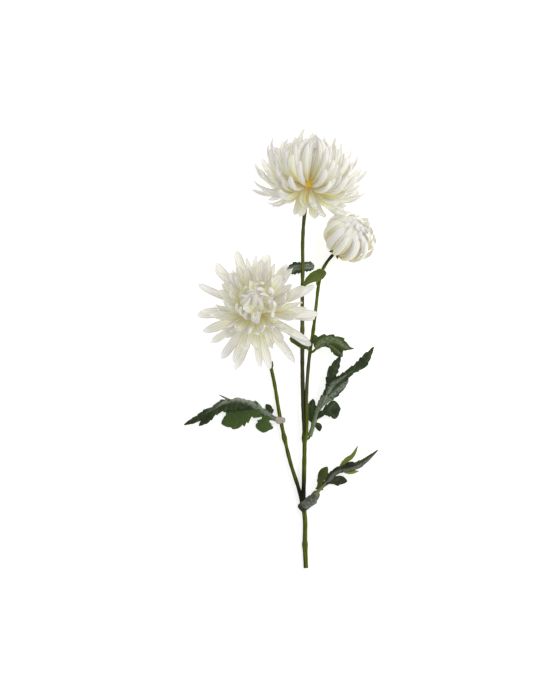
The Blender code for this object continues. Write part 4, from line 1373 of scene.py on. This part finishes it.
LEAVES = (
    Leaf(
        name="leaf_left", cloth=Cloth.DARK, seed=41,
        midrib=(
            (5.6, -79.6, 9.6), (-1.8, -80.2, 9.8), (-9.3, -77.3, 11), (-17.4, -71.8, 14),
            (-26, -66, 18), (-37.5, -60.3, 21.5), (-49, -58, 22),
            (-62.8, -60.3, 19), (-77.7, -67.7, 12.5), (-93.8, -76.7, 6.5),
            (-111.1, -85.6, 2.6),
        ),
        rows=(
            (0, 3.5, 3.5), (3, 6.5, 6.2), (8, 6.8, 6.4), (13, 4, 3.6), (19, 5.5, 4.5),
            (26, 6.5, 7.5), (36, 9.5, 14), (50, 14, 15), (66, 14, 13),
            (82, 13, 12), (92, 10, 10), (101, 11, 8), (112, 7.5, 6),
            (123, 4.5, 4), (134, 0.6, 0.6),
        ),
        folds=((0, -6, -6), (16, -6, -10), (30, -22, -52), (60, -24, -64), (95, -18, -45),
               (134, -8, -12)),
        lobes=(
            Lobe(((-24.5, -66.8, 17.4), (-38, -72, 15), (-52, -78, 10),
                  (-68.5, -84.5, 4.5)), 14.5, 0.6, foot=0.9, bright=0.5),
            Lobe(((-15, -73.5, 13), (-18.5, -84, 9), (-20, -95, 4)), 12.5, 0.7,
                 foot=0.8, bright=0.55),
            Lobe(((-14.5, -75.5, 12.6), (-13, -69, 8), (-17, -61.5, 3.2)), 5.5, 0.5,
                 foot=0.8),
            Lobe(((-74, -66, 14), (-85, -78.5, 7.5), (-94.5, -87, 2.6)), 6, 0.5),
            Lobe(((-56, -58, 18.5), (-64, -54.5, 15), (-71.5, -50.6, 13)), 1.3, 0.4,
                 wash=0.8),
        ),
        rolls=((0, 75, 75), (10, 70, 70), (16, 30, 30), (134, 20, 20)), blush=11,
        wash=((0, 6, 6), (14, 3, 6), (30, 3, 12), (55, 2, 13), (76, 0, 7), (95, -2, -2)),
        stalk=(12, 62), stalk_dye=(0, 0.8),
    ),
    Leaf(
        name="leaf_right", cloth=Cloth.DARK, seed=42,
        midrib=(
            (33.6, -98.8, 8.5), (36.9, -88.9, 9.6), (39.9, -78.7, 10.6), (42.4, -69.8, 12),
            (48, -60.5, 15), (53.1, -49.9, 18.5), (60.3, -38.4, 22), (69.9, -31.7, 24.5),
            (83.1, -23, 25.5), (92.6, -16.3, 24.5), (99.9, -9.1, 22.5), (107.3, 4.1, 19),
        ),
        rows=(
            (8, 1.4, 1.4), (14, 4, 2.6), (24, 5, 3.2), (36, 5, 3.2), (46, 6.5, 3.2),
            (56, 6, 5), (68, 5, 8), (82, 5.5, 8), (94, 5.5, 5), (104, 7, 7),
            (114, 8, 6.5), (124, 6, 4), (134, 0.6, 0.6),
        ),
        folds=((0, -10, -10), (20, -30, -12), (45, -20, -15), (134, -6, -28)),
        lobes=(
            Lobe(((52.4, -51.4, 18), (57, -32, 20), (62.5, -19, 18.5),
                  (69, -6.5, 14.5)), 7, 0.6, foot=0.6),
            Lobe(((40.6, -76, 10.9), (53.5, -70, 10.5), (69.5, -66.8, 5)), 12.5, 0.74),
            Lobe(((45.6, -65, 13.5), (59, -52, 14), (78.5, -34.5, 13)), 6, 0.55,
                 wash=0.3),
            Lobe(((38.6, -86.5, 9.8), (35.6, -72, 6.4), (37.5, -55.5, 4.4)), 7.5, 0.55,
                 bright=0.15),
            Lobe(((38, -84.5, 9.9), (43, -86.8, 8.8), (45.6, -93.4, 6.6)), 4.6, 0.5, foot=0.9),
        ),
        wash=((0, 2, 2), (18, 3, 2), (45, 4, 3), (66, 2, 3), (85, 0, 1), (100, -3, -3)),
        stalk=(0, 42), stalk_dye=(0.9, 0.5), stalk_radius=3,
    ),
    Leaf(
        name="leaf_low", cloth=Cloth.FELT, seed=43,
        midrib=(
            (21.7, -183.3, 10.2), (27.5, -178.1, 11), (34.4, -172.2, 11.2),
            (40.7, -165.3, 11.2), (45.9, -159.5, 12), (51.4, -153.4, 13),
            (56.9, -146.4, 15), (61.8, -141, 17), (67, -137.9, 18.5),
            (75.9, -136.3, 19.5), (84.6, -134.2, 19), (94.1, -129.5, 17),
            (104.2, -122.1, 14), (112.4, -114.7, 11),
        ),
        rows=(
            (0, 6.5, 8.5), (4, 9.5, 12), (12, 9, 13), (21, 7, 12.5), (26, 6, 9),
            (31, 1.8, 2), (38, 1.8, 3), (48, 3.5, 5.5), (58, 4.5, 6), (70, 5.5, 5),
            (80, 8, 6), (88, 5.5, 6), (98, 4, 3.8), (108, 2.6, 2.4), (118.6, 0.6, 0.6),
        ),
        folds=((0, -14, -14), (26, -14, -16), (38, 10, -18), (118.6, 2, -24)),
        lobes=(
            Lobe(((44.6, -161, 11.8), (46.5, -148.8, 14.5), (53.8, -133.6, 18)), 6.5, 0.62,
                 foot=0.8, bright=0.18),
            Lobe(((67, -137.9, 18.4), (76, -126.5, 17.5), (82.5, -121.5, 15.5),
                  (89.4, -109.4, 11)), 3.4, 0.35, bright=0.6),
            Lobe(((52.2, -152.4, 13.2), (63, -150, 12), (77.3, -150.6, 6.5)), 7, 0.6,
                 wash=0.12),
            Lobe(((68.5, -137.6, 18.6), (79.5, -140.4, 14.5), (90.7, -139, 9.5)), 2.6, 0.5,
                 bright=1),
        ),
        wash=((0, -3, -3), (4, -3, -3), (8, 16, 16), (29, 16, 16), (33, -3, -3), (40, 0, 2.5),
              (52, 0.5, 3.5), (84, -0.5, 3.5), (100, 0, 3), (118, -3, 0)),
        rolls=((0, 66, 66), (26, 62, 66), (31, 30, 30), (118, 24, 24)),
        stalk=(24, 44), stalk_dye=(0.75, 0.35), stalk_radius=2.7, tooth=(13, 0.24),
    ),
    Leaf(
        name="leaf_middle_right", cloth=Cloth.OLIVE, seed=44,
        midrib=(
            (39.4, 0.6, 17.6), (43.7, 4.6, 19.4), (50.5, 8.4, 21.6), (58, 11.3, 24),
            (64.9, 9.9, 25.6), (71.8, 5.8, 25.6), (78.7, 2.5, 24), (83.6, 2.3, 22),
        ),
        rows=(
            (2, 3.5, 2), (7, 12, 3.5), (14, 12, 5), (21, 9, 6.5), (28, 8, 7.5),
            (37, 8.5, 7.5), (44, 5, 4), (48, 2, 1.5), (51.9, 0.6, 0.6),
        ),
        folds=((0, 4, -12), (20, 2, -16), (51.9, -14, -16)),
        lobes=(
            Lobe(((42, 3.2, 18.8), (41.5, 11, 18.8), (38.8, 18.6, 18.6)), 4.6, 0.55),
            Lobe(((52.5, 9, 22.2), (63, 2, 21), (71.4, -7.4, 18.6)), 7, 0.6,
                 foot=0.8, wash=0.2),
        ),
        wash=((0, 1, 1), (10, 6, 2), (30, 4, 2), (45, 1, 1), (51, -2, -2)),
        stalk=(0, 18),
    ),
    Leaf(
        name="leaf_middle_left", cloth=Cloth.OLIVE, seed=45, tooth=(6, 0.08),
        midrib=((32, 1.6, 18.2), (29.4, 4.6, 19.3), (24.6, 9.3, 20), (17.7, 12.9, 20.2),
                (11.2, 13.8, 19.4)),
        rows=((1, 1.5, 1.5), (4, 5, 7.5), (9, 6.8, 8.5), (15, 7, 7.5), (21, 6.2, 6.4),
              (24.5, 4.4, 4.2), (26.4, 0.8, 0.8)), bright=0.25,
        folds=((0, -6, -6), (26.4, -10, -10)),
        stalk=(0, 14),
    ),
    Leaf(
        name="leaf_bud", cloth=Cloth.OLIVE, seed=46, tooth=(8, 0.1),
        midrib=((52.4, 90.6, 17.2), (47.6, 88.5, 18.2), (40.7, 84.9, 20.6), (32.7, 80, 24.4),
                (23.9, 71.4, 25.4)),
        rows=((0, 3, 3), (3, 5.5, 7), (9, 6.8, 8), (15, 5.2, 7.8), (21, 3.8, 6.6),
              (28, 2, 3.8), (35.8, 0.6, 0.6)),
        folds=((0, -20, -20), (12, -8, -14), (35.8, -5, -10)),
        bright=0.45,
    ),
    Leaf(
        name="leaf_back", cloth=Cloth.DARK, seed=47, tooth=(5.5, 0.3),
        midrib=((39, 97.9, 13.5), (32.7, 97.3, 18), (26.1, 96.4, 20), (17.7, 95.4, 16),
                (9.7, 92.7, 11), (2.5, 87.5, 6)),
        rows=((0, 3, 3), (3, 5.5, 5.5), (9, 7, 6.5), (15, 6.5, 5.5), (23, 8, 8.5),
              (31, 8, 6), (38, 5, 3.5), (44.4, 0.6, 0.6)),
        folds=((0, -6, -6), (44.4, -6, -6)),
        wash=((0, 3, 3), (44, 3, 3)),
    ),
)
# What the left bloom's petals lie over: routes and radii
UNDER_LEFT = (
    (MAIN_STEM, MAIN_RADIUS[1]), (RIGHT_BRANCH, RIGHT_RADIUS[0]), (LEFT_BRANCH[:8], LEFT_RADIUS[0]),
    *((leaf.midrib, 1.5) for leaf in LEAVES
      if leaf.name in ("leaf_middle_left", "leaf_bud", "leaf_back")),
)
HEAD_TOP = FlowerHead(
    name="bloom_top", seed=17, heart=(31.5, 188, 48), axis=(0.12, 0.97, 0.2),
    rows=many(PetalRow, (9, -52, 48, 48, 9.5), (12, -32, 70, 61, 10.5), (12, -9, 78, 65.5, 10.5),
              (12, 14, 76, 65.5, 10.5), (11, 35, 74, 62, 10), (8, 55, 78, 57, 9.5),
              (5, 74, 88, 48, 9)),
    inner=many(PetalRow, (12, -46, 52, 43, 12.5), (17, -22, 78, 57, 10.5), (19, 0, 84, 60, 10.5),
               (19, 20, 84, 61, 10.5), (17, 38, 84, 59, 10), (14, 54, 86, 55, 9.5),
               (11, 68, 92, 49, 9), (8, 80, 96, 43, 8)),
    singles=many(SinglePetal, (54, -42, 20, 34, 12), (71, -58, 8, 38, 11, 20),
                 (93, -46, 24, 32, 12, -15), (111, -58, 6, 40, 12)),
    dome=9, core=(12, 10), core_rise=2, curl_power=1.8, sway=0, unevenness=1,
    neighbour=((80.6, 132.1, 28.6), 35), lean=(0.24, 0.93, 0.24), point=0.2, slim=0.15,
    parting=(9, 34),
)
HEAD_LEFT = FlowerHead(
    name="bloom_left", seed=6, heart=(-27.7, 46.7, 24), axis=(0.077, 0.187, 0.98),
    rows=many(PetalRow, (14, -24, 12, 64, 10.5), (13, -6, 24, 61, 10.5), (11, 13, 50, 57, 10),
              (10, 29, 60, 57, 9.5), (8, 43, 84, 55, 9.5), (7, 58, 96, 48, 9),
              (4, 74, 108, 40, 8.5)),
    inner=many(PetalRow, (13, 8, 24, 46, 10), (14, 20, 30, 49, 10), (14, 31, 32, 53, 10),
               (13, 40, 42, 55, 10), (13, 49, 58, 56, 10), (11, 60, 74, 54, 9.5),
               (9, 70, 94, 50, 9), (8, 82, 60, 43, 8)),
    singles=many(SinglePetal, (230, 72, -56, 58, 18), (301, 74, -24, 54, 13, 30),
                 (24, 78, -26, 56, 16, -25), (76, 80, -34, 54, 13, 20),
                 (139, 78, -24, 54, 14, -20), (190, 84, -20, 56, 12, 30)),
    dome=9, core=(12, 10), core_rise=2, curl_power=1.35, sway=0, unevenness=1,
    rests_on=UNDER_LEFT, lean=(-0.04, 0.32, 0.94), point=0.22, slim=0.1, climb=0.04, fade=-0.1,
)
HEAD_BUD = FlowerHead(
    name="bud", seed=8, heart=(66.8, 117.3, 12.2), axis=(0.53, 0.57, 0.63),
    rows=many(PetalRow, (12, -6, 150, 63, 11), (9, 9, 148, 60, 10.5), (6, 30, 136, 56, 10),
              (4, 56, 118, 50, 9.5)),
    inner=many(PetalRow, (12, 3, 148, 57, 10.5), (9, 18, 140, 55, 10), (8, 44, 116, 52, 9),
               (7, 50, 62, 50, 8)),
    dome=4.5, core=(15, 19), core_rise=18, curl_power=1, sway=24, unevenness=0.45,
    broad=1, taper=0.86, climb=0.36,
)
CALYXES = (
    (Calyx("calyx_top", 0.4, 15, 6.4, sepals=6, start=-62, curl=10, length=9, width=5.4), HEAD_TOP),
    (Calyx("calyx_left", 0.4, 11.5, 6.4, sepals=6, start=-58, curl=10, length=8, width=5.2),
     HEAD_LEFT),
    (Calyx("calyx_bud", 0.35, 5.6, 4.2, sepals=7, start=-16, curl=26, length=13, width=5.5),
     HEAD_BUD),
)
SEPAL_CLOTH = LeafCloth("sepal_cloth", deep="2b370f", light="4f5f22", vein="78834e",
                        under="6c7748", wash="78834e", bright="78834e")
CLOTHS = {
    Cloth.DARK: LeafCloth("dark_leaf_cloth", deep="18220b", light="35471d", vein="7b8a64",
                          under="66715a", wash="8f9988", bright="5a7630"),
    Cloth.OLIVE: LeafCloth("olive_leaf_cloth", deep="26330c", light="4d6019", vein="7d8a4c",
                           under="7f8965", wash="7e8b6c", bright="6d7d26"),
    Cloth.FELT: LeafCloth("felted_leaf_cloth", deep="0e1505", light="303c14", vein="7b8163",
                          under="6c725c", wash="747871", bright="8a9a34"),
}


def main() -> None:
    """Builds the studio and every piece of the spray, in order."""
    logging.basicConfig(level=logging.INFO, format="%(name)s: %(message)s")
    Studio().build()
    petal, sepal = SilkPetal().material(), SEPAL_CLOTH.material()
    cloths = {cloth: finish.material() for cloth, finish in CLOTHS.items()}
    for head in (HEAD_TOP, HEAD_LEFT, HEAD_BUD):
        head.build(petal)
    for calyx, head in CALYXES:
        calyx.build(head, sepal)
    for leaf in LEAVES:
        leaf.build(cloths)
    STEMS.build(LEAVES, CoatedStem().material())


if __name__ == "__main__":
    main()
